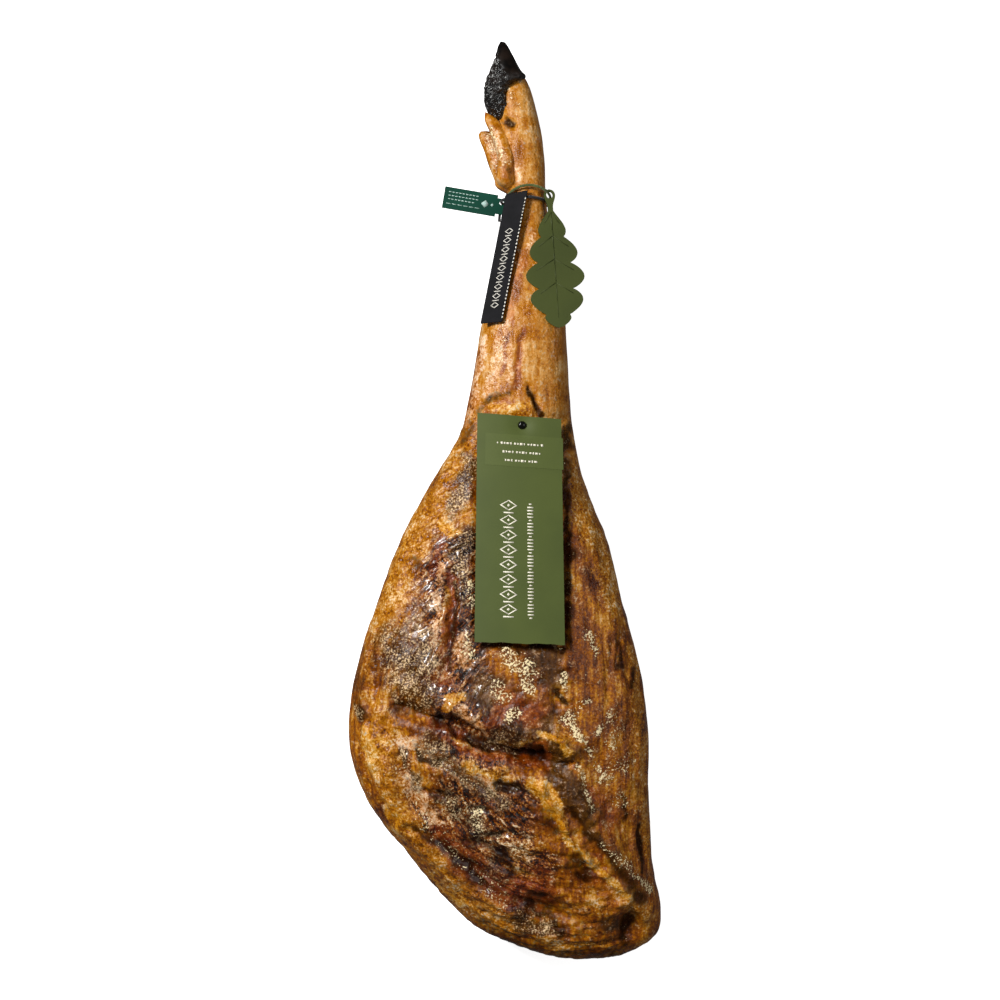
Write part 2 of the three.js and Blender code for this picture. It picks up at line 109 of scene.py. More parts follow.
def lattice_noise(points: np.ndarray, size: float, seed: int) -> np.ndarray:
    """Smooth noise from -1 to 1 whose lumps are about size across.

    Each corner of a lattice of cubes holds a value mixed from its whole-number place, and a point takes the
    mean of its cube's eight corners, weighted along each axis by the ramp 6t^5 - 15t^4 + 10t^3.

    Args:
        points: one row of coordinates for each point.
        size: the cube's edge, in the points' unit.
        seed: picks one of many such patterns.

    Returns:
        One value for each point.
    """
    scaled = points / size + SEED_SHIFT * seed
    cell = np.floor(scaled).astype(np.int64)
    part = scaled - cell
    ramp = part**3 * (part * (6 * part - 15) + 10)
    total = np.zeros(len(points))
    for corner in np.ndindex(2, 2, 2):
        at = (cell + np.array(corner)) * np.array(CELL_PRIMES)
        code = at[:, 0] ^ at[:, 1] ^ at[:, 2] ^ (seed * SEED_PRIME)
        for shift, factor in MIX_STEPS:
            code = ((code ^ (code >> shift)) * factor) & LOW_32_BITS
        value = ((code ^ (code >> 15)) & LOW_16_BITS) / (LOW_16_BITS / 2) - 1
        total += value * np.prod(np.where(np.array(corner) == 1, ramp, 1 - ramp), axis=1)
    return total


def fractal(
    points: np.ndarray, size: float, octaves: int, seed: int, stretch: Sequence[float] = (1, 1, 1)
) -> np.ndarray:
    """Noise of several sizes: each octave has half the size and 0.55 times the height of the one before.

    Args:
        points: one row of coordinates for each point.
        size: the largest lumps' size.
        octaves: how many sizes there are.
        seed: the first octave's pattern.
        stretch: how much longer the lumps are along each axis.

    Returns:
        One value for each point, mostly from -1 to 1.
    """
    pulled = points / np.array(stretch)
    heights = OCTAVE_FALL ** np.arange(octaves)
    total = sum(h * lattice_noise(pulled, size / 2**k, seed + k) for k, h in enumerate(heights))
    return total / np.sqrt((heights**2).sum())


def swept(points: np.ndarray) -> np.ndarray:
    """Places in rings about the middle that the lean's strands bend round, for patterns that follow arcs.

    Args:
        points: the points in the drawing.

    Returns:
        The distance from the middle, the run round it at a usual radius and the height. Angles count from the
        left, so that the ring's ends meet on the flank, which has no strands.
    """
    across, along = (points[:, :2] - np.array(STRAND_CENTRE)).T
    run = STRAND_RADIUS * np.arctan2(along, -across)
    return np.column_stack((np.hypot(across, along), run, points[:, 2]))


def path_distance(points: np.ndarray, path: Sequence[Point]) -> np.ndarray:
    """Distance across the ham from each point to a polyline: the least of those to its straight stretches.

    Args:
        points: rows of x and y, and whatever follows them.
        path: the polyline's corners, or a single point.

    Returns:
        One distance for each point.
    """
    corners = np.array(path, float)
    if len(corners) == 1:
        corners = np.repeat(corners, 2, axis=0)
    flat = points[:, :2]
    nearest = np.full(len(points), np.inf)
    for a, b in zip(corners[:-1], corners[1:]):
        span = b - a
        length = max(float(span @ span), 1e-9)
        along = np.clip(((flat - a) @ span) / length, 0, 1)
        nearest = np.minimum(nearest, np.linalg.norm(flat - a - along[:, None] * span, axis=1))
    return nearest


def spline(points: np.ndarray, t: np.ndarray, closed: bool = False) -> np.ndarray:
    """A Catmull-Rom curve: a cubic between neighbours whose slope at each is half the step across it.

    Args:
        points: the curve's points, one row each.
        t: places along it, from 0 to 1, with the points evenly spread.
        closed: whether it runs back to its first point.

    Returns:
        One row for each place.
    """
    if closed:
        padded = np.vstack([points[-1:], points, points[:2]])
        spans = len(points)
    else:
        padded = np.vstack([2 * points[0] - points[1], points, 2 * points[-1] - points[-2]])
        spans = len(points) - 1
    at = np.clip(t, 0, 1) * spans
    i = np.minimum(at.astype(int), spans - 1)
    w = (at - i)[:, None]
    p0, p1, p2, p3 = (padded[i + k] for k in range(4))
    cubic = (p2 - p0) * w + (2 * p0 - 5 * p1 + 4 * p2 - p3) * w**2 + (3 * p1 - p0 - 3 * p2 + p3) * w**3
    return p1 + 0.5 * cubic


def signed_power(value: np.ndarray, power: float | np.ndarray) -> np.ndarray:
    """The value's size to a power, with the value's sign."""
    return np.sign(value) * np.abs(value) ** power


# Meshes


@dataclass
class Place:
    """Where the drawing's origin lies in the model's frame, in millimetres."""

    shift: np.ndarray

    def metres(self, points: np.ndarray) -> np.ndarray:
        """Points of the drawing in the model's frame, in metres."""
        return (points + self.shift) * MM

    def drawing(self, points: np.ndarray) -> np.ndarray:
        """Points of the model's frame, in metres, as millimetres of the drawing."""
        return points / MM - self.shift


def grid_faces(rows: int, columns: int, closed: bool) -> np.ndarray:
    """Quads between the neighbours of a grid that is stored row by row.

    Args:
        rows: how many rows of points there are.
        columns: how many points a row has.
        closed: whether each row runs back to its first point.

    Returns:
        Four point numbers for each quad.
    """
    i, j = np.meshgrid(np.arange(rows - 1), np.arange(columns if closed else columns - 1), indexing="ij")
    i, j = i.ravel(), j.ravel()
    k = (j + 1) % columns
    return np.column_stack((i * columns + j, i * columns + k, (i + 1) * columns + k, (i + 1) * columns + j))


def new_object(name: str, data: bpy.types.ID | None) -> bpy.types.Object:
    """Adds an object to the scene, unturned at the origin.

    Args:
        name: its name.
        data: the mesh, curve, light or camera that it shows.

    Returns:
        The object.
    """
    made = bpy.data.objects.new(name, data)
    bpy.context.scene.collection.objects.link(made)
    return made


def make_piece(
    name: str, place: Place, points: np.ndarray, faces: Iterable[Sequence[int]]
) -> bpy.types.Object:
    """Makes a smooth-shaded mesh object at the origin, with its place in its mesh.

    Args:
        name: the piece's name.
        place: turns the drawing's millimetres into the model's metres.
        points: its points in the drawing.
        faces: point numbers, counter-clockwise seen from outside.

    Returns:
        The new object.
    """
    mesh = bpy.data.meshes.new(name)
    mesh.from_pydata(place.metres(points).tolist(), [], [tuple(map(int, f)) for f in faces])
    mesh.validate()
    mesh.polygons.foreach_set("use_smooth", np.ones(len(mesh.polygons), bool))
    return new_object(name, mesh)


def edit_mesh(piece: bpy.types.Object, change: Callable[[bmesh.types.BMesh], object]) -> None:
    """Opens the piece's mesh for editing, changes it and puts it back.

    Args:
        piece: the piece.
        change: what is done to the opened mesh.
    """
    mesh = bmesh.new()
    mesh.from_mesh(piece.data)
    change(mesh)
    mesh.to_mesh(piece.data)
    mesh.free()


def outward(piece: bpy.types.Object) -> None:
    """Turns a closed piece's faces so that they all point out."""
    edit_mesh(piece, lambda mesh: bmesh.ops.recalc_face_normals(mesh, faces=mesh.faces))


def weld(piece: bpy.types.Object, distance: float) -> None:
    """Merges the points that lie closer than a distance in the mesh's unit."""
    edit_mesh(piece, lambda mesh: bmesh.ops.remove_doubles(mesh, verts=mesh.verts, dist=distance))


def closed_piece(
    name: str, place: Place, points: np.ndarray, faces: Iterable[Sequence[int]]
) -> bpy.types.Object:
    """Makes a piece of closed shells, as make_piece does, whichever way round each shell was drawn.

    Args:
        name: the piece's name.
        place: turns the drawing's millimetres into the model's metres.
        points: its points in the drawing.
        faces: point numbers.

    Returns:
        The new object, with its faces turned outwards.
    """
    piece = make_piece(name, place, points, faces)
    outward(piece)
    return piece


def stored_points(piece: bpy.types.Object) -> np.ndarray:
    """The piece's points as its mesh holds them.

    Args:
        piece: the piece.

    Returns:
        One row for each point.
    """
    flat = np.empty(len(piece.data.vertices) * 3)
    piece.data.vertices.foreach_get("co", flat)
    return flat.reshape(-1, 3)


def positions(piece: bpy.types.Object, place: Place) -> np.ndarray:
    """The piece's points in the drawing's millimetres, one row each."""
    return place.drawing(stored_points(piece))


def move_points(piece: bpy.types.Object, place: Place, points: np.ndarray) -> None:
    """Puts the piece's points at new places of the drawing."""
    piece.data.vertices.foreach_set("co", place.metres(points).ravel())
    piece.data.update()


def normals(piece: bpy.types.Object) -> np.ndarray:
    """The piece's outward directions.

    Args:
        piece: the piece.

    Returns:
        One row for each point.
    """
    flat = np.empty(len(piece.data.vertices) * 3, np.float32)
    piece.data.vertex_normals.foreach_get("vector", flat)
    return flat.reshape(-1, 3).astype(float)


def add_attribute(piece: bpy.types.Object, name: str, values: np.ndarray) -> None:
    """Stores a value at each point of the piece for its material to read.

    Args:
        piece: the piece.
        name: the attribute's name.
        values: one number, or one row of three, for each point.
    """
    kind, key = ("FLOAT", "value") if values.ndim == 1 else ("FLOAT_VECTOR", "vector")
    layer = piece.data.attributes.new(name, kind, "POINT")
    layer.data.foreach_set(key, values.astype(np.float32).ravel())


def apply_modifiers(piece: bpy.types.Object) -> None:
    """Makes the modifiers' result the piece's own mesh.

    Args:
        piece: the piece.
    """
    graph = bpy.context.evaluated_depsgraph_get()
    made = bpy.data.meshes.new_from_object(piece.evaluated_get(graph))
    piece.modifiers.clear()
    piece.data = made


def closed_tube(rings: np.ndarray) -> Shell:
    """A tube of rings, closed at each end by a fan to the ring's middle.

    Args:
        rings: points by ring, by place round it and by axis.

    Returns:
        The points and the faces.
    """
    count, around, _ = rings.shape
    body = rings.reshape(-1, 3)
    caps = np.vstack([rings[0].mean(0), rings[-1].mean(0)])
    here = np.arange(around)
    after = np.roll(here, -1)
    end = (count - 1) * around
    first = np.column_stack([np.full(around, len(body)), after, here])
    last = np.column_stack([np.full(around, len(body) + 1), end + here, end + after])
    faces = grid_faces(count, around, True).tolist() + first.tolist() + last.tolist()
    return np.vstack([body, caps]), faces


def sheet_shell(middle: np.ndarray, thickness: float) -> Shell:
    """A curved plate: its middle grid moved half the thickness both ways along its normals, and a border.

    Args:
        middle: the middle surface's points by column across and by row along.
        thickness: how far apart the two faces are.

    Returns:
        The points and the faces.
    """
    across, along, _ = middle.shape
    out = np.cross(np.gradient(middle, axis=0), np.gradient(middle, axis=1))
    out *= thickness / 2 / np.linalg.norm(out, axis=2, keepdims=True)
    upper, lower = middle + out, middle - out
    count = across * along
    top = grid_faces(across, along, False)
    at = np.arange(count).reshape(across, along)
    border = np.concatenate([at[:, 0], at[-1, 1:], at[-2::-1, -1], at[0, -2:0:-1]])
    after = np.roll(border, -1)
    walls = np.column_stack([border, after, after + count, border + count])
    faces = top.tolist() + (top + count)[:, ::-1].tolist() + walls.tolist()
    return np.vstack([upper.reshape(-1, 3), lower.reshape(-1, 3)]), faces


def prisms(outlines: np.ndarray, seat: Seat, height: float) -> Shell:
    """Thin raised marks: each outline stands by height on the surface that seat describes.

    Args:
        outlines: points by mark, by corner and by flat axis, counter-clockwise.
        seat: gives the surface's points and outward directions at flat places.
        height: the marks' thickness. They also reach half as far below the surface.

    Returns:
        The points and the faces.
    """
    count, corners, _ = outlines.shape
    base, out = seat(outlines.reshape(-1, 2))
    top = (base + height * out).reshape(count, corners, 3)
    bottom = (base - 0.5 * height * out).reshape(count, corners, 3)
    points = np.concatenate([top, bottom], axis=1).reshape(-1, 3)
    first = 2 * corners * np.arange(count)[:, None]
    here = np.arange(corners)
    after = np.roll(here, -1)
    walls = first[..., None] + np.column_stack([here, here + corners, after + corners, after])
    faces = (first + here).tolist() + (first + corners + here[::-1]).tolist()
    return points, faces + walls.reshape(-1, 4).tolist()


def bar(x: float, y: float, width: float, height: float) -> np.ndarray:
    """A rectangle about its middle, as one outline of four corners."""
    signs = np.array([(-1, -1), (1, -1), (1, 1), (-1, 1)])
    return np.array([x, y]) + signs * np.array([width, height]) / 2


def lozenge(x: float, y: float, width: float, height: float) -> np.ndarray:
    """A diamond about its middle, as one outline of four corners."""
    tips = np.array([(0, -1), (1, 0), (0, 1), (-1, 0)])
    return np.array([x, y]) + tips * np.array([width, height]) / 2


def surface_frame(
    surface: Callable[[np.ndarray, np.ndarray], np.ndarray], across: np.ndarray, down: np.ndarray
) -> tuple[np.ndarray, np.ndarray]:
    """Points of a surface with their outward directions, square to a short step across and one down.

    Args:
        surface: gives the points at places across and down.
        across: places across, growing to the right.
        down: places down, growing towards the viewer's lower edge.

    Returns:
        The points and the directions.
    """
    step = 1e-3
    here = surface(across, down)
    right = surface(across + step, down) - here
    below = surface(across, down + step) - here
    out = np.cross(below, right)
    return here, out / np.linalg.norm(out, axis=1, keepdims=True)


def open_lozenge(x: float, y: float, width: float, height: float, line: float) -> list[np.ndarray]:
    """A diamond drawn with a line of even width.

    Args:
        x: its middle, across.
        y: its middle, along.
        width: from its left tip to its right one.
        height: from its lower tip to its upper one.
        line: how wide the line is.

    Returns:
        Four outlines.
    """
    inset = 2.4 * line  # both sides of the line, measured level through its slant
    outer = lozenge(x, y, width, height)
    inner = lozenge(x, y, width - inset, height - inset * height / width)
    return [np.array([outer[k], outer[(k + 1) % 4], inner[(k + 1) % 4], inner[k]]) for k in range(4)]


# The loft that the leg, the dewclaws and the horn share


@dataclass(frozen=True)
class Section:
    """One cut through a tapering body: its left and right edge points, and its lowest and highest level."""

    left: Point
    right: Point
    low: float
    high: float


@dataclass(frozen=True)
class Feature:
    """A fold, ridge or pit: it raises the surface by height along a path and fades over spread beside it."""

    name: str
    path: tuple[Point, ...]
    spread: float
    height: float

    def lift(self, points: np.ndarray) -> np.ndarray:
        """The height at each point: a bell curve of the distance to the path."""
        return self.height * np.exp(-((path_distance(points, self.path) / self.spread) ** 2))


@dataclass
class Loft:
    """A closed body through sections whose rings are squared ellipses, blunter on the upper side."""

    sections: tuple[Section, ...]
    front_power: float = 2.5
    back_power: float = 2.1
    rim_share: float = 0.56
    flatness: float = 0.45  # a usual ring's half height over its half width

    def angles(self, upper: int, lower: int) -> np.ndarray:
        """Places round a ring, evenly spaced along a flat ellipse's edge.

        Args:
            upper: how many points the upper side has.
            lower: how many points the lower side has.

        Returns:
            Angles from 0 at the right edge through the upper side.
        """
        fine = np.linspace(0, np.pi, 400)
        wide = signed_power(np.cos(fine), 2 / self.front_power)
        steps = np.hypot(np.diff(wide), self.flatness * np.diff(np.sin(fine)))
        share = np.concatenate([[0], np.cumsum(steps)]) / steps.sum()
        top = np.interp(np.arange(upper) / upper, share, fine)
        bottom = np.pi + np.interp(np.arange(lower) / lower, share, fine)
        return np.concatenate([top, bottom])

    def surface(self, t: np.ndarray, angles: np.ndarray, features: Iterable[Feature] = ()) -> np.ndarray:
        """Rings of the body.

        Each ring's middle and half width come from the curves through the left and right edges. Across it goes
        as the cosine to the power 2/p. The level rises from the rim line to the highest one as the sine, with
        the features added in the same share, and falls from it to the lowest one as the sine.

        Args:
            t: places along the body, between 0 and 1.
            angles: places round each ring.
            features: relief of the upper side.

        Returns:
            Points by ring, by place round it and by axis.
        """
        left = spline(np.array([(*s.left, s.low) for s in self.sections]), t)[:, None, :]
        right = spline(np.array([(*s.right, s.high) for s in self.sections]), t)[:, None, :]
        upper = (angles < np.pi)[None, :]
        power = np.where(upper, self.front_power, self.back_power)
        side = signed_power(np.cos(angles)[None, :], 2 / power)
        rise = np.abs(np.sin(angles))[None, :]
        low, high = left[..., 2], right[..., 2]
        rim = low + self.rim_share * (high - low)
        flat = (left + right)[..., :2] / 2 + (right - left)[..., :2] / 2 * side[..., None]
        level = np.where(upper, rim + (high - rim) * rise, rim - (rim - low) * rise)
        rings = np.dstack([flat, level])
        lift = sum((f.lift(rings.reshape(-1, 3)) for f in features), np.zeros(level.size))
        rings[..., 2] += np.where(upper, rise * lift.reshape(level.shape), 0)
        return rings

    def body(self, rings: int, angles: np.ndarray) -> Shell:
        """The closed mesh of evenly placed rings with a pole at each end."""
        return self.close(self.surface(np.arange(1, rings + 1) / (rings + 1), angles))

    def close(self, rings: np.ndarray) -> Shell:
        """Closes the rings at the middles of the first and the last section.

        Args:
            rings: points by ring, by place round it and by axis.

        Returns:
            The points and the faces.
        """
        points, faces = closed_tube(rings)
        ends = [((*s.left, s.low), (*s.right, s.high)) for s in (self.sections[0], self.sections[-1])]
        points[-2:] = np.array(ends).sum(axis=1) / 2
        return points, faces


# Materials


def plug(tree: bpy.types.NodeTree, node: bpy.types.Node, inputs: dict) -> None:
    """Fills a node's inputs.

    Args:
        tree: the material's node tree.
        node: the node.
        inputs: for each input, by name or number, a value or the socket it is linked from.
    """
    for key, value in inputs.items():
        if isinstance(value, bpy.types.NodeSocket):
            tree.links.new(value, node.inputs[key])
        else:
            node.inputs[key].default_value = value


def add_node(
    tree: bpy.types.NodeTree, kind: str, inputs: dict | None = None, stops: Stops = (), **settings: object
) -> bpy.types.Node:
    """Adds one shader node with its settings and links.

    Args:
        tree: the material's node tree.
        kind: the node's type without "ShaderNode".
        inputs: for each input, by name or number, a value or the socket it is linked from.
        stops: a ramp's places, each with an sRGB hex colour.
        settings: the node's own properties.

    Returns:
        The node.
    """
    node = tree.nodes.new("ShaderNode" + kind)
    for key, value in settings.items():
        setattr(node, key, value)
    if stops:
        elements = node.color_ramp.elements
        for element, (spot, colour) in zip((elements[0], elements[1]), (stops[0], stops[-1])):
            element.position, element.color = spot, srgb(colour)
        for spot, colour in stops[1:-1]:
            elements.new(spot).color = srgb(colour)
    plug(tree, node, inputs or {})
    return node


def per_metre(size_mm: float) -> float:
    """A texture's scale for a pattern that repeats about every so many millimetres."""
    return 1 / (size_mm * MM)


@dataclass
class Shader:
    """A material being built: its tree, its object coordinates and its surface shader."""

    name: str

    def __post_init__(self) -> None:
        """Starts the tree with its output, its Principled shader and its coordinates."""
        self.material = bpy.data.materials.new(self.name)
        self.material.use_nodes = True
        self.tree = self.material.node_tree
        self.tree.nodes.clear()
        self.surface = add_node(self.tree, "BsdfPrincipled")
        add_node(self.tree, "OutputMaterial", {"Surface": self.surface.outputs[0]})
        self.coords = add_node(self.tree, "TexCoord").outputs["Object"]

    def add(
        self, kind: str, inputs: dict | None = None, stops: Stops = (), **settings: object
    ) -> bpy.types.Node:
        """Adds a node to this material's tree."""
        return add_node(self.tree, kind, inputs, stops, **settings)

    def finish(self, values: dict) -> bpy.types.Material:
        """Fills the surface shader's inputs and returns the material."""
        plug(self.tree, self.surface, values)
        return self.material


STRAND_PLACE = "strand_place"
HEEL = "heel"


class Tint(Enum):
    """The looks that strokes lay on the ham, each an attribute of its mesh."""

    GOLD = "golden_fat"
    TAN = "shank_skin"
    LEAN = "dried_lean"
    OLIVE = "olive_film"
    RED = "red_brown"
    # Pale pinkish fat and painted wet highlights.
    ROSE = "pale_fat_and_painted_highlights"
    AMBER = "amber_fat"
    BLOOM = "grey_bloom"
    # Cream specks of fat, and painted glints where the glint strokes lie.
    CREAM = "cream_specks_and_painted_glints"
    # Mostly painted shade in creases, pits, hollows and along edges, and the card's painted cast shadow; a few
    # strokes are dark marks of the meat.
    DARK = "crease_shade_and_dark_marks"


@dataclass(frozen=True)
class Stroke:
    """A soft stroke along a path, full at its middle and faded at spread to its sides."""

    name: str
    spread: float
    amount: float
    path: tuple[Point, ...]

    def weight(self, points: np.ndarray) -> np.ndarray:
        """The stroke's strength at each point: its amount times exp of minus the distance's third power."""
        return self.amount * np.exp(-((path_distance(points, self.path) / self.spread) ** 3))


@dataclass(frozen=True)
class CuredMeat:
    """Dried, oiled meat, fat and skin: brown skin is the ground, and each tint has its own colours."""

    # The palest stops of the ground, gold, tan, lean and amber ranges are partly painted highlight: pale
    # glints laid into the colour.
    ground: Stops = ((0.18, "#3a1404"), (0.4, "#703809"), (0.55, "#995818"), (0.71, "#c08a4a"),
                     (0.9, "#e8c498"))
    gold: Stops = ((0.1, "#4a2004"), (0.3, "#844a10"), (0.5, "#ac6c22"), (0.66, "#cc9c5e"),
                   (0.86, "#f4dcba"))
    tan: Stops = ((0.15, "#7a421c"), (0.42, "#ac713a"), (0.6, "#c59158"), (0.88, "#eccb9c"))
    lean: Stops = ((0.2, "#120401"), (0.38, "#381404"), (0.5, "#602b0a"), (0.62, "#86481a"),
                   (0.76, "#b07c48"), (0.9, "#f4dcb8"))
    olive: Stops = ((0.2, "#281602"), (0.5, "#432604"), (0.8, "#664014"))
    red: Stops = ((0.2, "#340a02"), (0.5, "#7c3008"), (0.8, "#b8601c"))
    # Pale pinkish fat and painted highlights on the wet skin.
    pale_and_highlight: Stops = ((0.2, "#9a5826"), (0.42, "#c88c5c"), (0.6, "#e8bf98"), (0.8, "#fce6cc"))
    amber: Stops = ((0.15, "#945616"), (0.4, "#c07e30"), (0.6, "#dcac66"), (0.85, "#fae4bc"))
    bloom: Stops = ((0.25, "#120803"), (0.46, "#36200e"), (0.66, "#684e32"), (0.9, "#dcc29c"))
    # The near-black brown of the painted shade in creases, pits, hollows, edges and the card's cast shadow.
    crease: str = "#1c0a02"
    # Pale crumbs of fat, also used as painted glints.
    crumb: str = "#f3e0b6"
    between_crumbs: str = "#3e240e"

    def material(self) -> bpy.types.Material:
        """Air-dried ham surface: skin, fat and lean rubbed with oil, which gives it many small wet glints.
        Some are reflected by the coat; others are painted highlights in the colour, beside painted shade in
        the creases.

        Returns:
            The material.
        """
        s = Shader("cured_ham_surface")
        broad, mid, grain, pepper = (
            s.add("TexNoise", {"Vector": s.coords, "Scale": per_metre(size), "Detail": detail,
                               "Roughness": rough})
            for size, detail, rough in ((26, 3.0, 0.6), (8, 3.0, 0.62), (2.2, 3.0, 0.7), (1.7, 2.0, 0.6))
        )
        pebble = s.add("TexNoise", {"Vector": s.coords, "Scale": per_metre(3), "Detail": 1.0,
                                    "Distortion": 0.5})
        along = s.add("Mapping", {"Vector": s.coords, "Scale": (1.0, 0.12, 1.0)})
        fibre = s.add("TexNoise", {"Vector": along.outputs[0], "Scale": per_metre(3.4), "Detail": 3.0})
        rings = s.add("Attribute", attribute_name=STRAND_PLACE).outputs["Vector"]
        along_arc = s.add("Mapping", {"Vector": rings, "Scale": (1.0, 0.2, 1.0)})
        strand = s.add("TexNoise", {"Vector": along_arc.outputs[0], "Scale": per_metre(4), "Detail": 3.0,
                                    "Distortion": 0.4})

        def mixed(parts: Sequence[tuple[bpy.types.Node, float]]) -> bpy.types.NodeSocket:
            """Half, plus each noise's distance from half times its share.

            Args:
                parts: the noises with their shares.

            Returns:
                The sum.
            """
            total = 0.5
            for node, share in parts:
                values = {0: node.outputs[0], 1: share, 2: -0.5 * share}
                add = s.add("Math", values, operation="MULTIPLY_ADD")
                total = s.add("Math", {0: add.outputs[0], 1: total}, operation="ADD").outputs[0]
            return total

        def amount(
            tint: Tint, ragged: float, sharp: float = 0.16, most: float = 1.0
        ) -> bpy.types.NodeSocket:
            """A tint's attribute with an edge that the middle noise and the grain fray.

            Args:
                tint: which attribute.
                ragged: how far its edge strays.
                sharp: how wide its edge is.
                most: its full amount.

            Returns:
                The amount, from 0 to most.
            """
            raw = s.add("Attribute", attribute_name=tint.value).outputs["Fac"]
            fray = mixed(((mid, ragged), (grain, 0.9 * ragged)))
            both = s.add("Math", {0: raw, 1: fray}, operation="ADD")
            ends = {"Value": both.outputs[0], "From Min": 1 - sharp, "From Max": 1 + sharp, "To Max": most}
            return s.add("MapRange", ends, interpolation_type="SMOOTHSTEP").outputs[0]

        def over(
            under: bpy.types.NodeSocket,
            tint: bpy.types.NodeSocket | Sequence[float],
            share: bpy.types.NodeSocket,
        ) -> bpy.types.NodeSocket:
            """One colour laid over another."""
            return s.add("Mix", {0: share, 6: under, 7: tint}, data_type="RGBA").outputs[2]

        def ranged(parts: Sequence[tuple[bpy.types.Node, float]], stops: Stops) -> bpy.types.NodeSocket:
            """A range of colours driven by mixed noises."""
            return s.add("ValToRGB", {0: mixed(parts)}, stops).outputs[0]

        skin_parts = ((broad, 1.1), (fibre, 0.8), (grain, 0.8))
        lean_parts = ((broad, 0.5), (strand, 1.6), (mid, 0.5), (grain, 1.9))
        fat_parts = ((broad, 0.9), (mid, 0.8), (grain, 1.6))
        soft_parts = ((broad, 1.1), (fibre, 0.6), (mid, 0.5), (grain, 0.7))
        red_parts = ((broad, 1.1), (mid, 0.9), (grain, 0.9))
        mould_parts = ((broad, 1.0), (pepper, 2.9), (mid, 0.9))
        dark = amount(Tint.DARK, 1.1, 0.4, 0.94)
        colour = ranged(skin_parts, self.ground)
        is_lean = amount(Tint.LEAN, 0.7, 0.3)
        colour = over(colour, ranged(lean_parts, self.lean), is_lean)
        colour = over(colour, ranged(fat_parts, self.gold), amount(Tint.GOLD, 0.9, 0.25))
        colour = over(colour, ranged(soft_parts, self.tan), amount(Tint.TAN, 0.3))
        colour = over(colour, ranged(soft_parts, self.olive), amount(Tint.OLIVE, 0.6, 0.45, 0.9))
        colour = over(colour, ranged(red_parts, self.red), amount(Tint.RED, 0.9, 0.5, 0.8))
        colour = over(colour, ranged(fat_parts, self.amber), amount(Tint.AMBER, 1.0, 0.35, 0.9))
        # Painted highlights: pale streaks on the shank, the lip over the fold and the lean, with some pale
        # pinkish fat.
        colour = over(colour, ranged(fat_parts, self.pale_and_highlight), amount(Tint.ROSE, 1.8, 0.35, 0.85))
        # Painted shade: the dark tint darkens creases, pits, hollows, edges and the card's cast shadow towards
        # near-black brown.
        colour = over(colour, srgb(self.crease), dark)
        colour = over(colour, ranged(mould_parts, self.bloom), amount(Tint.BLOOM, 1.5, 0.5, 0.85))
        # Pale crumbs: specks of fat, and painted glints.
        colour = self.crumbs(s, colour)
        rich = s.add("HueSaturation", {"Saturation": 1.12, "Color": colour})
        bump = s.add("Bump", {"Height": mid.outputs[0], "Distance": 2.0 * MM, "Strength": 0.5})
        for noise, depth, strength in ((strand, 3.4, is_lean), (pebble, 0.8, 0.7), (grain, 0.8, 0.8)):
            bump = s.add("Bump", {"Height": noise.outputs[0], "Distance": depth * MM, "Strength": strength,
                                  "Normal": bump.outputs[0]})
        worn = s.add("MapRange", {"Value": mixed(((mid, 1.4), (broad, 1.0))), "From Min": 0.3,
                                  "From Max": 0.75, "To Min": 0.24, "To Max": 0.46})
        gloss = s.add("Math", {0: dark, 1: -0.36, 2: 0.4}, operation="MULTIPLY_ADD")
        wet = s.add("Math", {0: is_lean, 1: 0.36}, operation="MULTIPLY")
        return s.finish({
            "Base Color": rich.outputs[0],
            "Roughness": worn.outputs[0],
            "IOR": 1.46,
            "Specular IOR Level": gloss.outputs[0],
            "Coat Weight": wet.outputs[0],
            "Coat Roughness": 0.12,
            "Normal": bump.outputs[0],
        })

    def crumbs(self, s: Shader, under: bpy.types.NodeSocket) -> bpy.types.NodeSocket:
        """Lays pale crumbs, about a millimetre across, where their tint is, as densely as it is strong: crumbs
        of fat, and painted glints on the wet lean, shank and flank.

        Args:
            s: the material.
            under: the colour so far.

        Returns:
            The colour with the crumbs on it.
        """
        shifted = s.add("Mapping", {"Vector": s.coords, "Location": (2.0, 0.6, 0.0)})
        crumbs = s.add("TexNoise", {"Vector": shifted.outputs[0], "Scale": per_metre(1.9), "Detail": 1.5,
                                    "Roughness": 0.7})
        patch = s.add("TexNoise", {"Vector": shifted.outputs[0], "Scale": per_metre(9), "Detail": 2.0})
        where = s.add("Attribute", attribute_name=Tint.CREAM.value).outputs["Fac"]
        rough = s.add("Math", {0: patch.outputs[0], 1: 1.3, 2: -0.65}, operation="MULTIPLY_ADD")
        dense = s.add("Math", {0: where, 1: rough.outputs[0]}, operation="ADD")
        level = s.add("Math", {0: dense.outputs[0], 1: -0.28, 2: 0.75}, operation="MULTIPLY_ADD")
        high = s.add("Math", {0: level.outputs[0], 1: 0.08}, operation="ADD")
        pale = s.add("MapRange", {"Value": crumbs.outputs[0], "From Min": level.outputs[0],
                                  "From Max": high.outputs[0]})
        shade = s.add("MapRange", {"Value": dense.outputs[0], "From Min": 0.4, "From Max": 1.2,
                                   "To Max": 0.6})
        dark, light = srgb(self.between_crumbs), srgb(self.crumb)
        between = s.add("Mix", {0: shade.outputs[0], 6: under, 7: dark}, data_type="RGBA")
        made = s.add("Mix", {0: pale.outputs[0], 6: between.outputs[2], 7: light}, data_type="RGBA")
        return made.outputs[2]


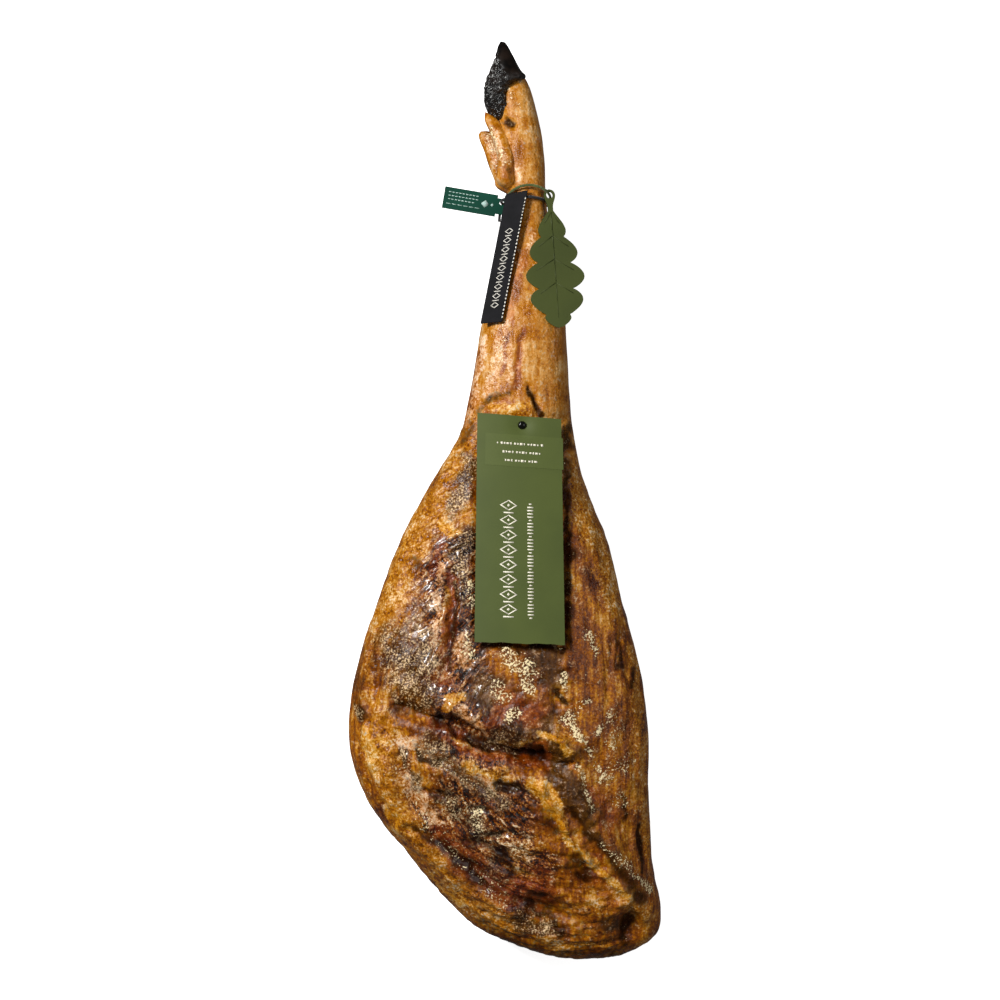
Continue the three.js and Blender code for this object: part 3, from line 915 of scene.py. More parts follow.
@dataclass(frozen=True)
class Horn:
    """Pig's hoof horn: near-black keratin, worn dull, with pale specks on the heel that are partly scratches
    and partly painted glints.
    """

    wall: str = "#1b130e"
    deep: str = "#050403"
    scratch_and_glint: str = "#a4a4a0"

    def material(self) -> bpy.types.Material:
        """Natural horn, as grown: a satin sheen over fine growth lines along the toe.

        Returns:
            The material.
        """
        s = Shader("black_horn")
        along = s.add("Mapping", {"Vector": s.coords, "Scale": (1.0, 0.25, 1.0)})
        lines = s.add("TexNoise", {"Vector": along.outputs[0], "Scale": per_metre(2.5), "Detail": 3.0})
        cloud = s.add("TexNoise", {"Vector": s.coords, "Scale": per_metre(11), "Detail": 2.0})
        tone = s.add("ValToRGB", {0: cloud.outputs[0]}, ((0.35, self.deep), (0.62, self.wall)))
        heel = s.add("Attribute", attribute_name=HEEL).outputs["Fac"]
        crumbs = s.add("TexNoise", {"Vector": s.coords, "Scale": per_metre(2.7), "Detail": 2.0,
                                    "Distortion": 1.4})
        least = s.add("Math", {0: heel, 1: -0.4, 2: 1.02}, operation="MULTIPLY_ADD")
        most = s.add("Math", {0: least.outputs[0], 1: 0.06}, operation="ADD")
        pale = s.add("MapRange", {"Value": crumbs.outputs[0], "From Min": least.outputs[0],
                                  "From Max": most.outputs[0]})
        # Pale specks on the heel: scratches and painted glints.
        mixed = {0: pale.outputs[0], 6: tone.outputs[0], 7: srgb(self.scratch_and_glint)}
        colour = s.add("Mix", mixed, data_type="RGBA")
        bump = s.add("Bump", {"Height": lines.outputs[0], "Distance": 0.5 * MM, "Strength": 0.35})
        bump = s.add("Bump", {"Height": crumbs.outputs[0], "Distance": 2.0 * MM, "Strength": heel,
                              "Normal": bump.outputs[0]})
        wet = s.add("Math", {0: heel, 1: -0.2, 2: 0.42}, operation="MULTIPLY_ADD")
        gloss = s.add("Math", {0: heel, 1: 0.42, 2: 0.1}, operation="MULTIPLY_ADD")
        return s.finish({"Base Color": colour.outputs[2], "Roughness": wet.outputs[0], "IOR": 1.55,
                         "Specular IOR Level": gloss.outputs[0], "Normal": bump.outputs[0]})


@dataclass(frozen=True)
class CottonCord:
    """Twisted cotton: matt, with the fibres' faint fuzz."""

    name: str
    colour: str
    worn: str

    def material(self) -> bpy.types.Material:
        """Dyed cotton twine: soft shade changes from strand to strand and a dull, fuzzy surface.

        Returns:
            The material.
        """
        s = Shader(self.name)
        fibre = s.add("TexNoise", {"Vector": s.coords, "Scale": per_metre(1.2), "Detail": 3.0})
        tone = s.add("ValToRGB", {0: fibre.outputs[0]}, ((0.35, self.colour), (0.7, self.worn)))
        bump = s.add("Bump", {"Height": fibre.outputs[0], "Distance": 0.3 * MM, "Strength": 0.6})
        return s.finish({"Base Color": tone.outputs[0], "Roughness": 0.85, "Sheen Weight": 0.25,
                         "Normal": bump.outputs[0]})


@dataclass(frozen=True)
class WovenRibbon:
    """Polyester grosgrain: fine ribs across the ribbon, drawn one millimetre apart so that they show."""

    colour: str = "#0f0f11"
    worn: str = "#18171a"
    pitch: float = 1.0

    def material(self) -> bpy.types.Material:
        """Woven polyester: dark ribs that catch a little light, on the ribbon's own length coordinate.

        A wave texture repeats 20 times at a scale of one, so its scale is a twentieth of the ribs' own.

        Returns:
            The material.
        """
        s = Shader("black_grosgrain")
        uv = s.add("UVMap", uv_map="UVMap").outputs[0]
        ribs = s.add("TexWave", {"Vector": uv, "Scale": per_metre(self.pitch) / 20, "Distortion": 0.6,
                                 "Detail": 1.0}, bands_direction="Y")
        cloud = s.add("TexNoise", {"Vector": s.coords, "Scale": per_metre(9), "Detail": 3.0})
        tone = s.add("ValToRGB", {0: cloud.outputs[0]}, ((0.3, self.colour), (0.75, self.worn)))
        bump = s.add("Bump", {"Height": ribs.outputs["Fac"], "Distance": 0.15 * MM, "Strength": 0.5})
        return s.finish({"Base Color": tone.outputs[0], "Roughness": 0.85, "Specular IOR Level": 0.2,
                         "Normal": bump.outputs[0]})


@dataclass(frozen=True)
class PlainCoat:
    """A printed, moulded or coated surface of one colour with slight unevenness."""

    name: str
    colour: str
    shade: str
    roughness: float
    grain_mm: float = 0.9
    grain_depth_mm: float = 0.05
    cloud_mm: float = 40.0
    gloss: float = 0.25

    def material(self) -> bpy.types.Material:
        """An even surface: large soft clouds of shade and a fine tooth in the finish.

        Returns:
            The material.
        """
        s = Shader(self.name)
        cloud = s.add("TexNoise", {"Vector": s.coords, "Scale": per_metre(self.cloud_mm), "Detail": 2.0})
        tone = s.add("ValToRGB", {0: cloud.outputs[0]}, ((0.35, self.shade), (0.65, self.colour)))
        tooth = s.add("TexNoise", {"Vector": s.coords, "Scale": per_metre(self.grain_mm), "Detail": 2.0})
        bump = s.add("Bump", {"Height": tooth.outputs[0], "Distance": self.grain_depth_mm * MM,
                              "Strength": 0.5})
        return s.finish({"Base Color": tone.outputs[0], "Roughness": self.roughness,
                         "Specular IOR Level": self.gloss, "Normal": bump.outputs[0]})


# The ham


LEG_SECTIONS = (
    Section((9, 803), (9, 803), 50, 51),
    Section((3, 796), (17, 797), 40, 63),
    Section((-6, 780), (24, 782), 31, 71),
    Section((-6, 752), (32, 752), 28, 74),
    Section((-4, 721), (36, 721), 29, 74),
    Section((3, 686), (37, 686), 30, 76),
    Section((-4, 649), (42, 649), 28, 80),
    Section((-14, 608), (51, 608), 24, 86),
    Section((-23, 563), (55, 563), 18, 91),
    Section((-32, 509), (58, 509), 12, 95),
    Section((-42, 471), (62, 472), 7, 99),
    Section((-68, 427), (72, 428), 2, 104),
    Section((-94, 379), (92, 379), -1, 110),
    Section((-114, 325), (106, 320), -3, 117),
    Section((-130, 275), (120, 269), -4, 121),
    Section((-140, 224), (128, 215), -4, 122),
    Section((-137, 181), (129, 154), -4, 119),
    Section((-118, 136), (132, 93), -3, 111),
    Section((-90, 100), (140, 48), 1, 100),
    Section((-67, 70), (136, 23), 8, 87),
    Section((-55, 57), (119, 10), 12, 81),
    Section((-42, 43), (95, 1.5), 18, 73),
    Section((-24, 28), (54, 0.5), 27, 62),
    Section((12, 11), (12, 11), 44, 46),
)

NEAR_DEWCLAW = (
    Section((-18, 764), (-18, 764), 60, 61),
    Section((-18, 756), (-8, 758), 57, 66),
    Section((-14, 746), (3, 743), 54, 71),
    Section((-10, 734), (6, 732), 53, 75),
    Section((-7, 721), (9, 721), 53, 77),
    Section((-8, 708), (10, 709), 53, 77),
    Section((-7, 699), (11, 699), 54, 75),
    Section((6, 691), (6, 691), 60, 62),
)

FAR_DEWCLAW = (
    Section((-22, 750), (-22, 750), 39, 40),
    Section((-24, 745), (-13, 749), 34, 46),
    Section((-19, 732), (-2, 738), 30, 49),
    Section((-15, 719), (3, 723), 28, 50),
    Section((-10, 706), (9, 706), 28, 50),
    Section((-7, 698), (11, 698), 30, 50),
    Section((10, 689), (10, 689), 39, 41),
)

BROAD_RELIEF = (
    Feature("deep fold", ((-94, 236), (-50, 224), (-4, 201), (50, 184)), 11, -13),
    Feature("lip over the fold", ((-62, 240), (-20, 222), (30, 203)), 10, 6),
    Feature("hip bone ridge", ((45, 203), (60, 154), (86, 118), (132, 54)), 12, 8),
    Feature("valley beside the ridge", ((66, 200), (84, 158), (112, 112)), 14, -6),
    Feature("hollow below the fold", ((-70, 150), (-20, 105), (36, 60)), 26, -7),
    Feature("lean pocket", ((24, 54), (48, 48)), 10, -9),
    Feature("hip socket", ((112, 36), (116, 30)), 9, -8),
)

FINE_RELIEF = (
    Feature("valley's head", ((66, 204), (60, 196)), 12, 6),
    Feature("fold's shallow head", ((-96, 236), (-74, 231), (-56, 226)), 12, 6),
    Feature("fold's head", ((-90, 229), (-71, 226), (-52, 219)), 7, -3.5),
    Feature("fold's slit", ((-43, 210), (-27, 203), (-4, 197), (29, 194)), 4, -5),
    Feature("ledge in the fold", ((-52, 207), (-34, 198), (-15, 190)), 4, 2.5),
    Feature("edge of the lip", ((-55, 235), (-39, 233), (-24, 221), (-10, 207), (13, 201)), 5, 3.5),
    Feature("groove down the left", ((-48, 348), (-47, 327), (-49, 292), (-53, 264)), 4, -5),
    Feature("ridge left of the groove", ((-55, 345), (-54, 318), (-57, 292)), 4, 3),
    Feature("ridge right of the groove", ((-41, 336), (-41, 292)), 4, 1.8),
    Feature("furrow inside the rim", ((-90, 209), (-92, 179), (-76, 145), (-57, 118), (-34, 89),
            (-12, 68)), 6, -3.5),
    Feature("rolled rim", ((-116, 205), (-108, 174), (-94, 145), (-75, 114), (-52, 87), (-26, 63),
            (6, 43)), 10, 3),
    Feature("pit", ((-1, 166), (8, 162)), 4, -5),
    Feature("pit's collar", ((13, 168), (31, 166), (41, 154)), 6, 3),
    Feature("crest line", ((31, 164), (45, 145), (53, 118), (66, 107), (85, 85), (109, 64)), 3.5, 4.5),
    Feature("hollow right of the crest", ((53, 141), (71, 120), (94, 96)), 6, -1.5),
    Feature("bone pit", ((111, 43), (109, 26)), 6, -4),
    Feature("bone ring", ((98, 56), (112, 58), (123, 46)), 4, 2.5),
    Feature("valley made shallower", ((64, 192), (72, 166), (92, 138)), 13, 3.5),
    Feature("slit", ((45, 249), (50, 238)), 3, -3.5),
    Feature("cut of the skin", ((19, 513), (24, 503), (27, 493)), 2.6, -4),
    Feature("left cut", ((-20, 498), (-10, 503), (0, 505)), 2.6, -3.4),
    Feature("hook crease", ((-76, 196), (-71, 186), (-55, 185)), 3.2, -3),
    Feature("flank line a", ((101, 292), (100, 266)), 2.6, -2),
    Feature("flank line b", ((94, 292), (92, 240)), 3, -1.6),
    Feature("flank line c", ((120, 129), (123, 87)), 3, -1.6),
    Feature("lean scar a", ((-54, 156), (-45, 151)), 4, -3),
    Feature("lean scar b", ((-27, 142), (-13, 141)), 4, -3),
    Feature("lean scar c", ((-19, 120), (-1, 122)), 3, -2.5),
    Feature("lean scar d", ((-38, 111), (-17, 110)), 4, -3),
    Feature("red hollow", ((17, 59), (34, 59)), 6, -3.5),
    Feature("purple hollow", ((-4, 96), (6, 80)), 7, -3),
    Feature("shank groove", ((13, 552), (9, 514)), 2.5, -1),
    Feature("furrow under the band", ((-75, 191), (-54, 182), (-34, 173), (-19, 164),
            (-6, 152)), 3.2, -3.4),
    Feature("furrow low at the rim", ((-82, 127), (-70, 118), (-54, 105), (-34, 91), (-17, 70)), 4, -3.6),
    Feature("furrow through the lean", ((-68, 161), (-52, 147), (-38, 129), (-19, 107),
            (-1, 100)), 3.2, -3),
    Feature("foot pit", ((0, 753), (6, 749)), 3.2, -4),
)

PAINT: dict[Tint, tuple[Stroke, ...]] = {
    Tint.GOLD: (
        Stroke("rim", 12, 0.9, ((-113, 214), (-108, 192), (-99, 156), (-84, 127), (-63, 98), (-42, 72),
                (-19, 51), (9, 36))),
        Stroke("rim's upper end", 12, 1.0, ((-106, 221), (-115, 203))),
        Stroke("upper left flank", 19, 1.0, ((-38, 481), (-47, 455), (-64, 428), (-79, 397), (-91, 371),
                (-99, 340), (-105, 314))),
        Stroke("gold between the blooms", 8, 0.9, ((-51, 389), (-57, 415))),
        Stroke("left middle", 10, 0.5, ((-111, 292), (-120, 266), (-123, 240))),
        Stroke("beside the pit", 8, 1.3, ((30, 161), (39, 156), (41, 147))),
        Stroke("crest", 3.8, 0.9, ((45, 141), (50, 129), (55, 114))),
        Stroke("crest line", 3, 1.1, ((61, 112), (73, 100), (85, 85), (96, 74), (109, 64))),
        Stroke("ledge in the fold", 6, 0.5, ((-53, 213), (-38, 203), (-18, 196))),
        Stroke("pale band under the fold", 9, 0.6, ((-33, 183), (-20, 175), (-7, 177), (4, 174))),
        Stroke("patch in the lean", 10, 0.4, ((6, 100), (22, 107), (38, 111))),
        Stroke("patch low", 7, 0.5, ((9, 87), (17, 80), (38, 76))),
        Stroke("fibres", 7, 0.85, ((31, 205), (44, 201), (50, 209), (44, 221))),
        Stroke("strand below the slit", 5, 0.8, ((39, 196), (43, 179))),
        Stroke("right border", 5, 0.85, ((113, 284), (119, 240), (122, 187), (126, 134), (129, 98))),
        Stroke("right shoulder", 15, 1.0, ((61, 441), (73, 415), (83, 384))),
        Stroke("right shoulder low", 11, 0.8, ((90, 358), (99, 327))),
        Stroke("below the cut", 9, 0.9, ((-17, 496), (4, 494), (22, 493))),
        Stroke("lip's left end", 5, 1.0, ((-53, 235), (-44, 242), (-36, 243))),
        Stroke("tip", 12, 0.55, ((84, 56), (100, 70), (120, 49))),
        Stroke("hem", 4, 0.7, ((31, 24), (63, 16), (94, 20))),
        Stroke("lean left", 6, 0.4, ((-60, 136), (-47, 116), (-24, 91))),
        Stroke("groove down the left", 3.2, 0.85, ((-52, 339), (-51, 317), (-52, 292), (-56, 268))),
    ),
    Tint.TAN: (
        Stroke("shank", 66, 1.0, ((8, 778), (13, 697), (15, 637), (18, 566))),
        Stroke("shank below the ribbon", 36, 1.0, ((-4, 548), (-4, 528))),
        Stroke("left of the cut", 12, 1.0, ((-19, 517), (-22, 505))),
        Stroke("right of the cut", 14, 1.0, ((42, 543), (42, 508), (46, 481), (54, 459))),
    ),
    Tint.LEAN: (
        Stroke("lean side", 34, 1.0, ((-38, 362), (-47, 327), (-48, 284), (-38, 240), (-26, 187),
                (-31, 132), (6, 75))),
        Stroke("lean beside the pit", 18, 1.0, ((13, 152), (6, 116), (31, 89))),
        Stroke("lip", 10, 0.8, ((-31, 227), (-4, 207), (22, 203))),
        Stroke("lean low right", 12, 0.8, ((22, 98), (13, 61))),
        Stroke("lean out to the rim", 13, 1.0, ((-68, 129), (-54, 105), (-34, 80), (-12, 57))),
        Stroke("left of the lean", 9, 0.8, ((-89, 186), (-82, 156), (-71, 131))),
    ),
    Tint.OLIVE: (
        Stroke("plane beside the crest", 11, 1.4, ((44, 196), (50, 174), (58, 154), (68, 139))),
        Stroke("below the card", 13, 1.0, ((29, 282), (39, 275), (45, 261))),
        Stroke("low right", 9, 0.7, ((92, 103), (119, 63))),
        Stroke("beside the bone pit", 7, 0.8, ((90, 39), (101, 37))),
        Stroke("left of the fold", 9, 0.5, ((-88, 279), (-82, 268))),
        Stroke("left edge", 8, 0.6, ((-133, 292), (-135, 249))),
        Stroke("between card and fold", 17, 1.0, ((-13, 249), (6, 233), (32, 219))),
        Stroke("left of the blob", 9, 0.5, ((-31, 279), (-26, 249))),
        Stroke("plane's foot", 8, 1.0, ((69, 156), (76, 134), (83, 118))),
    ),
    Tint.RED: (
        Stroke("groove", 5, 1.1, ((-48, 348), (-47, 327), (-49, 292), (-53, 268))),
        Stroke("lean below the groove", 6, 0.8, ((-64, 254), (-52, 256))),
        Stroke("edge of the lean", 9, 1.0, ((-61, 118), (-52, 102), (-43, 87))),
        Stroke("red spot", 10, 1.3, ((12, 68), (26, 70), (38, 65))),
        Stroke("lean low", 10, 0.85, ((-24, 80), (-4, 65))),
        Stroke("flank low", 8, 0.7, ((74, 161), (87, 141), (96, 129))),
        Stroke("fold", 8, 1.1, ((-60, 216), (-39, 205), (-11, 194), (27, 191))),
        Stroke("tip", 11, 0.6, ((76, 95), (87, 76), (95, 61))),
        Stroke("shank stripe", 3.2, 1.0, ((15, 567), (13, 542), (8, 514))),
        Stroke("right of the shank", 5, 0.45, ((43, 592), (47, 539))),
        Stroke("lean centre", 12, 0.75, ((-14, 203), (0, 240), (24, 229))),
        Stroke("shank left stripes", 3.4, 1.1, ((-22, 550), (-27, 517), (-31, 494))),
        Stroke("shank middle stripe", 3, 1.0, ((2, 561), (-2, 528))),
        Stroke("foot's edge", 4, 0.55, ((32, 737), (31, 726))),
        Stroke("dewclaw low", 5, 0.5, ((-4, 708), (1, 697))),
        # Painted shadow of the ribbon on the shank, beside its right edge.
        Stroke("ribbon's painted shadow", 8, 0.7, ((13, 637), (8, 601), (3, 574))),
        Stroke("lean low middle", 13, 0.9, ((-31, 89), (-4, 65), (27, 56))),
        Stroke("lean side low", 9, 0.6, ((-44, 107), (-31, 84))),
        Stroke("streaks on the flank", 4, 0.7, ((-55, 387), (-57, 369), (-61, 349))),
        Stroke("right of the slit", 5, 0.7, ((31, 201), (36, 182))),
        Stroke("lean beside the patch", 8, 0.7, ((26, 89), (38, 80))),
        Stroke("lean above the hollow", 10, 0.6, ((-57, 125), (-40, 107))),
        Stroke("beside the left cut", 5, 0.8, ((-15, 496), (-4, 501), (8, 502))),
        Stroke("foot low", 6, 0.5, ((6, 704), (13, 728))),
    ),
    # Painted wet highlights on the shank, the lip, the flank, the lean and the dewclaw, over some pale pinkish
    # fat.
    Tint.ROSE: (
        Stroke("shank", 6, 0.52, ((-2, 567), (-6, 537), (-15, 510))),
        Stroke("shank edge", 3.4, 0.95, ((-20, 557), (-27, 505), (-34, 481))),
        Stroke("streak right of it", 3, 0.5, ((6, 552), (3, 521))),
        Stroke("flank", 5, 0.5, ((-50, 366), (-59, 339), (-68, 322), (-88, 299))),
        Stroke("lip", 4.5, 1.0, ((-38, 229), (-27, 221), (-13, 209))),
        Stroke("lean", 8, 0.85, ((-87, 168), (-75, 148), (-64, 132))),
        Stroke("dewclaw", 6, 0.8, ((-12, 742), (-6, 720))),
        Stroke("ankle", 3, 0.8, ((10, 713), (13, 704))),
        Stroke("shank top", 5, 0.7, ((24, 654), (22, 641))),
        Stroke("band right of the groove", 6, 0.7, ((-38, 292), (-34, 275))),
        Stroke("band under the fold", 7, 1.0, ((-88, 201), (-68, 193), (-41, 177), (-13, 164))),
        Stroke("left of the groove", 3, 0.8, ((-59, 327), (-59, 292), (-62, 271))),
    ),
    Tint.AMBER: (
        Stroke("ledge in the fold", 3, 0.5, ((-45, 206), (-30, 200))),
        Stroke("blob beside the pit", 8, 1.3, ((25, 164), (36, 159), (40, 147))),
        Stroke("strip below it", 3.2, 0.9, ((42, 141), (50, 125), (57, 112))),
        Stroke("crest line", 2.8, 1.2, ((57, 112), (75, 96), (89, 83), (110, 65))),
        Stroke("fibres", 4, 0.9, ((29, 211), (44, 208), (50, 198))),
        Stroke("band under the fold", 6, 0.7, ((-33, 184), (-17, 175), (-7, 166))),
        Stroke("line over the slit", 2.5, 1.0, ((-4, 204), (22, 203))),
        Stroke("left of the hook", 9, 0.8, ((-122, 212), (-113, 200), (-115, 180))),
        Stroke("rim low", 6, 0.8, ((-72, 80), (-58, 64), (-42, 53))),
        Stroke("rim left", 5, 0.7, ((-103, 143), (-92, 123))),
        Stroke("upper left edge", 8, 0.45, ((-84, 415), (-98, 375), (-110, 336))),
        Stroke("between the blooms", 5, 0.8, ((-57, 394), (-45, 387))),
        Stroke("right shoulder", 6, 0.6, ((64, 468), (73, 441))),
        Stroke("lip's left end", 4, 0.9, ((-53, 240), (-39, 243))),
        Stroke("below the cut", 5, 0.8, ((-13, 500), (3, 496), (18, 496))),
    ),
    Tint.BLOOM: (
        Stroke("left", 20, 0.98, ((-96, 284), (-83, 268), (-69, 279))),
        Stroke("left low", 14, 0.85, ((-89, 249), (-74, 245))),
        Stroke("beside the card's top", 9, 0.95, ((-31, 448), (-38, 428), (-45, 406))),
        Stroke("beside the card", 9, 1.0, ((-34, 384), (-38, 367))),
        Stroke("above the fold", 11, 1.1, ((-3, 209), (9, 205))),
        Stroke("under the fold", 9, 0.85, ((-66, 201), (-54, 193))),
        Stroke("slant", 8, 0.75, ((-52, 184), (-38, 177), (-24, 164), (-4, 152))),
        Stroke("low", 8, 0.7, ((-52, 152), (-45, 141))),
        Stroke("pale low", 8, 0.65, ((-31, 136), (-19, 127))),
        Stroke("wet left", 5, 0.9, ((-78, 171), (-82, 161))),
        Stroke("wet spots", 4, 0.9, ((-91, 194), (-89, 177))),
        Stroke("blob beside the card", 4, 1.0, ((-43, 353), (-40, 350))),
        Stroke("bottom", 9, 0.9, ((10, 43), (26, 35), (38, 30))),
        Stroke("strands", 7, 0.4, ((-18, 96), (-9, 80))),
        Stroke("far left", 4, 0.8, ((-132, 229), (-130, 221))),
        Stroke("flank in between", 10, 0.5, ((-75, 322), (-83, 303))),
        Stroke("right of the groove", 6, 0.7, ((-38, 362), (-41, 327))),
    ),
    # Cream specks of fat, and painted glints: the glint strokes, the wet line and the shank's glints are
    # painted highlights.
    Tint.CREAM: (
        Stroke("below the card", 9, 1.1, ((6, 277), (20, 271), (22, 261))),
        Stroke("blob below the card", 6, 1.3, ((19, 254), (25, 251))),
        Stroke("left below the card", 9, 0.85, ((-12, 254), (-1, 240))),
        Stroke("blob above the fold", 5, 1.2, ((2, 224), (6, 228))),
        Stroke("small blob", 3, 1.0, ((11, 233), (13, 230))),
        Stroke("right of the card", 6, 1.0, ((73, 294), (78, 284))),
        Stroke("beside the slit", 4.5, 1.1, ((52, 266), (54, 250))),
        Stroke("middle", 7, 1.25, ((55, 228), (62, 216), (64, 205))),
        Stroke("thin arc", 4, 0.8, ((65, 237), (74, 241))),
        Stroke("dot", 4, 1.0, ((81, 209), (86, 216))),
        Stroke("sparse right", 8, 0.7, ((94, 227), (100, 214), (95, 201))),
        Stroke("dot low", 4, 0.9, ((71, 194), (76, 190))),
        Stroke("line", 3, 0.95, ((66, 186), (66, 168), (71, 152), (76, 141))),
        Stroke("low", 6, 0.85, ((80, 180), (88, 171))),
        Stroke("low right", 10, 0.6, ((94, 180), (108, 184))),
        Stroke("lower right", 7, 0.7, ((99, 156), (104, 147))),
        # Painted glints along this line and its end.
        Stroke("wet line", 4.5, 0.75, ((85, 113), (98, 100), (110, 89), (121, 78))),
        Stroke("wet line's end", 3.5, 1.1, ((122, 78), (129, 68))),
        Stroke("beside the card", 7, 0.9, ((-33, 341), (-29, 327))),
        Stroke("right of the groove", 5, 0.8, ((-34, 301), (-31, 279))),
        Stroke("centre of the lean", 6, 0.7, ((-27, 136), (-20, 129))),
        Stroke("dewclaw", 6, 0.75, ((-14, 746), (-9, 726), (-4, 715))),
        Stroke("toe", 4, 0.7, ((3, 783), (6, 776), (10, 769))),
        # Painted glints on the shank's wet skin.
        Stroke("painted glints on the shank", 6, 0.5, ((-2, 566), (-7, 539), (-16, 517))),
        Stroke("band under the fold", 6, 0.5, ((-83, 200), (-57, 186), (-22, 168))),
        Stroke("glints low in the lean", 17, 0.46, ((-57, 114), (-31, 85), (-3, 59))),
        Stroke("glints in the lean", 14, 0.5, ((-48, 152), (-20, 129), (6, 111))),
        Stroke("glints left", 10, 0.5, ((-94, 179), (-78, 152), (-71, 129))),
    ),
    # Mostly painted shade: the folds, slits, pits, furrows and hollows are darkened where shade falls, the
    # crest's shadow and the darker underside and flank edge are painted, and so is the card's cast shadow to
    # its right and below it. The flank lines, scars and spots are dark marks of the meat.
    Tint.DARK: (
        Stroke("hollow at the fold's head", 10, 0.68, ((-90, 236), (-78, 233), (-64, 226))),
        Stroke("fold", 5, 0.35, ((-60, 221), (-50, 214), (-32, 205))),
        Stroke("fold's slit", 5, 1.0, ((-32, 207), (-13, 200), (6, 196), (29, 194))),
        Stroke("fold's edge", 4, 0.7, ((29, 194), (34, 186))),
        Stroke("pit", 6, 1.0, ((-2, 167), (7, 163))),
        Stroke("beside the gold", 5, 0.5, ((32, 141), (41, 132), (45, 123))),
        Stroke("bone pit", 6, 0.85, ((109, 42), (109, 22))),
        Stroke("slit", 4, 1.1, ((46, 247), (50, 238))),
        Stroke("cut of the skin", 2.8, 1.0, ((20, 513), (25, 504), (27, 498), (32, 488))),
        Stroke("left cut", 3.5, 0.62, ((-24, 495), (-19, 502), (-12, 506), (-4, 510), (3, 510))),
        Stroke("spots", 5, 0.6, ((-82, 362), (-75, 353))),
        Stroke("above the lip", 7, 0.6, ((-34, 245), (-22, 238), (-17, 229))),
        Stroke("lean scar a", 5, 0.6, ((-56, 157), (-49, 153))),
        Stroke("lean scar b", 5, 0.65, ((-30, 142), (-19, 142))),
        Stroke("lean scar c", 4, 0.8, ((-17, 120), (-3, 122))),
        Stroke("lean scar d", 5, 0.6, ((-39, 113), (-22, 113))),
        Stroke("purple hollow", 8, 0.55, ((-6, 100), (4, 81))),
        Stroke("red spot's edge", 6, 0.6, ((24, 65), (38, 57))),
        Stroke("red spot below", 6, 0.8, ((20, 53), (40, 43), (46, 32))),
        Stroke("purple patch", 9, 0.75, ((60, 98), (71, 87))),
        Stroke("crest shadow", 4, 0.6, ((57, 139), (69, 125), (83, 113))),
        Stroke("crest shadow low", 5, 0.6, ((87, 107), (107, 83), (121, 61))),
        Stroke("flank line a", 3, 0.85, ((101, 291), (100, 268))),
        Stroke("flank line b", 3, 0.8, ((114, 264), (112, 249))),
        Stroke("flank line c", 3, 0.8, ((105, 152), (107, 132))),
        Stroke("flank line d", 3, 0.9, ((120, 127), (122, 87))),
        # Painted shadow that the card casts to its right.
        Stroke("right of the card", 5, 0.8, ((56, 481), (55, 362), (53, 292))),
        Stroke("hook", 3, 0.9, ((-76, 194), (-71, 187), (-57, 186))),
        Stroke("foot pit", 4, 1.0, ((0, 753), (6, 749))),
        Stroke("dewclaw hollow", 3.5, 0.6, ((3, 710), (6, 699))),
        Stroke("far left", 6, 0.7, ((-130, 235), (-127, 224))),
        # Painted shade along the underside.
        Stroke("underside", 8, 0.55, ((-22, 35), (13, 16), (58, 8), (103, 11))),
        Stroke("lower middle", 9, 0.35, ((49, 56), (67, 36))),
        # Painted shadow that the card casts below its lower edge.
        Stroke("card's painted shadow below it", 4, 0.9, ((-20, 287), (48, 285))),
        # Painted shade along the flank's right edge.
        Stroke("painted shade at the flank's edge", 4, 0.5, ((131, 187), (133, 98))),
        Stroke("left of the card's top", 8, 0.5, ((-38, 494), (-44, 478))),
        Stroke("left cut's tail", 3, 0.5, ((-30, 482), (-35, 471), (-41, 463))),
        Stroke("field of the lean", 9, 0.42, ((-50, 102), (-24, 89), (-4, 65))),
        Stroke("low in the lean", 6, 0.5, ((-57, 111), (-43, 93), (-27, 76))),
        Stroke("furrow under the band", 2.8, 0.7, ((-75, 190), (-54, 181), (-34, 172), (-19, 163),
                (-6, 151))),
        Stroke("furrow low at the rim", 3.2, 0.7, ((-82, 126), (-70, 117), (-54, 104), (-34, 90),
                (-17, 69))),
        Stroke("furrow through the lean", 2.8, 0.65, ((-68, 160), (-52, 146), (-38, 128), (-19, 106),
                (-1, 99))),
        Stroke("groove down the left", 2.4, 0.8, ((-46, 345), (-44, 324), (-46, 292), (-50, 266))),
    ),
}


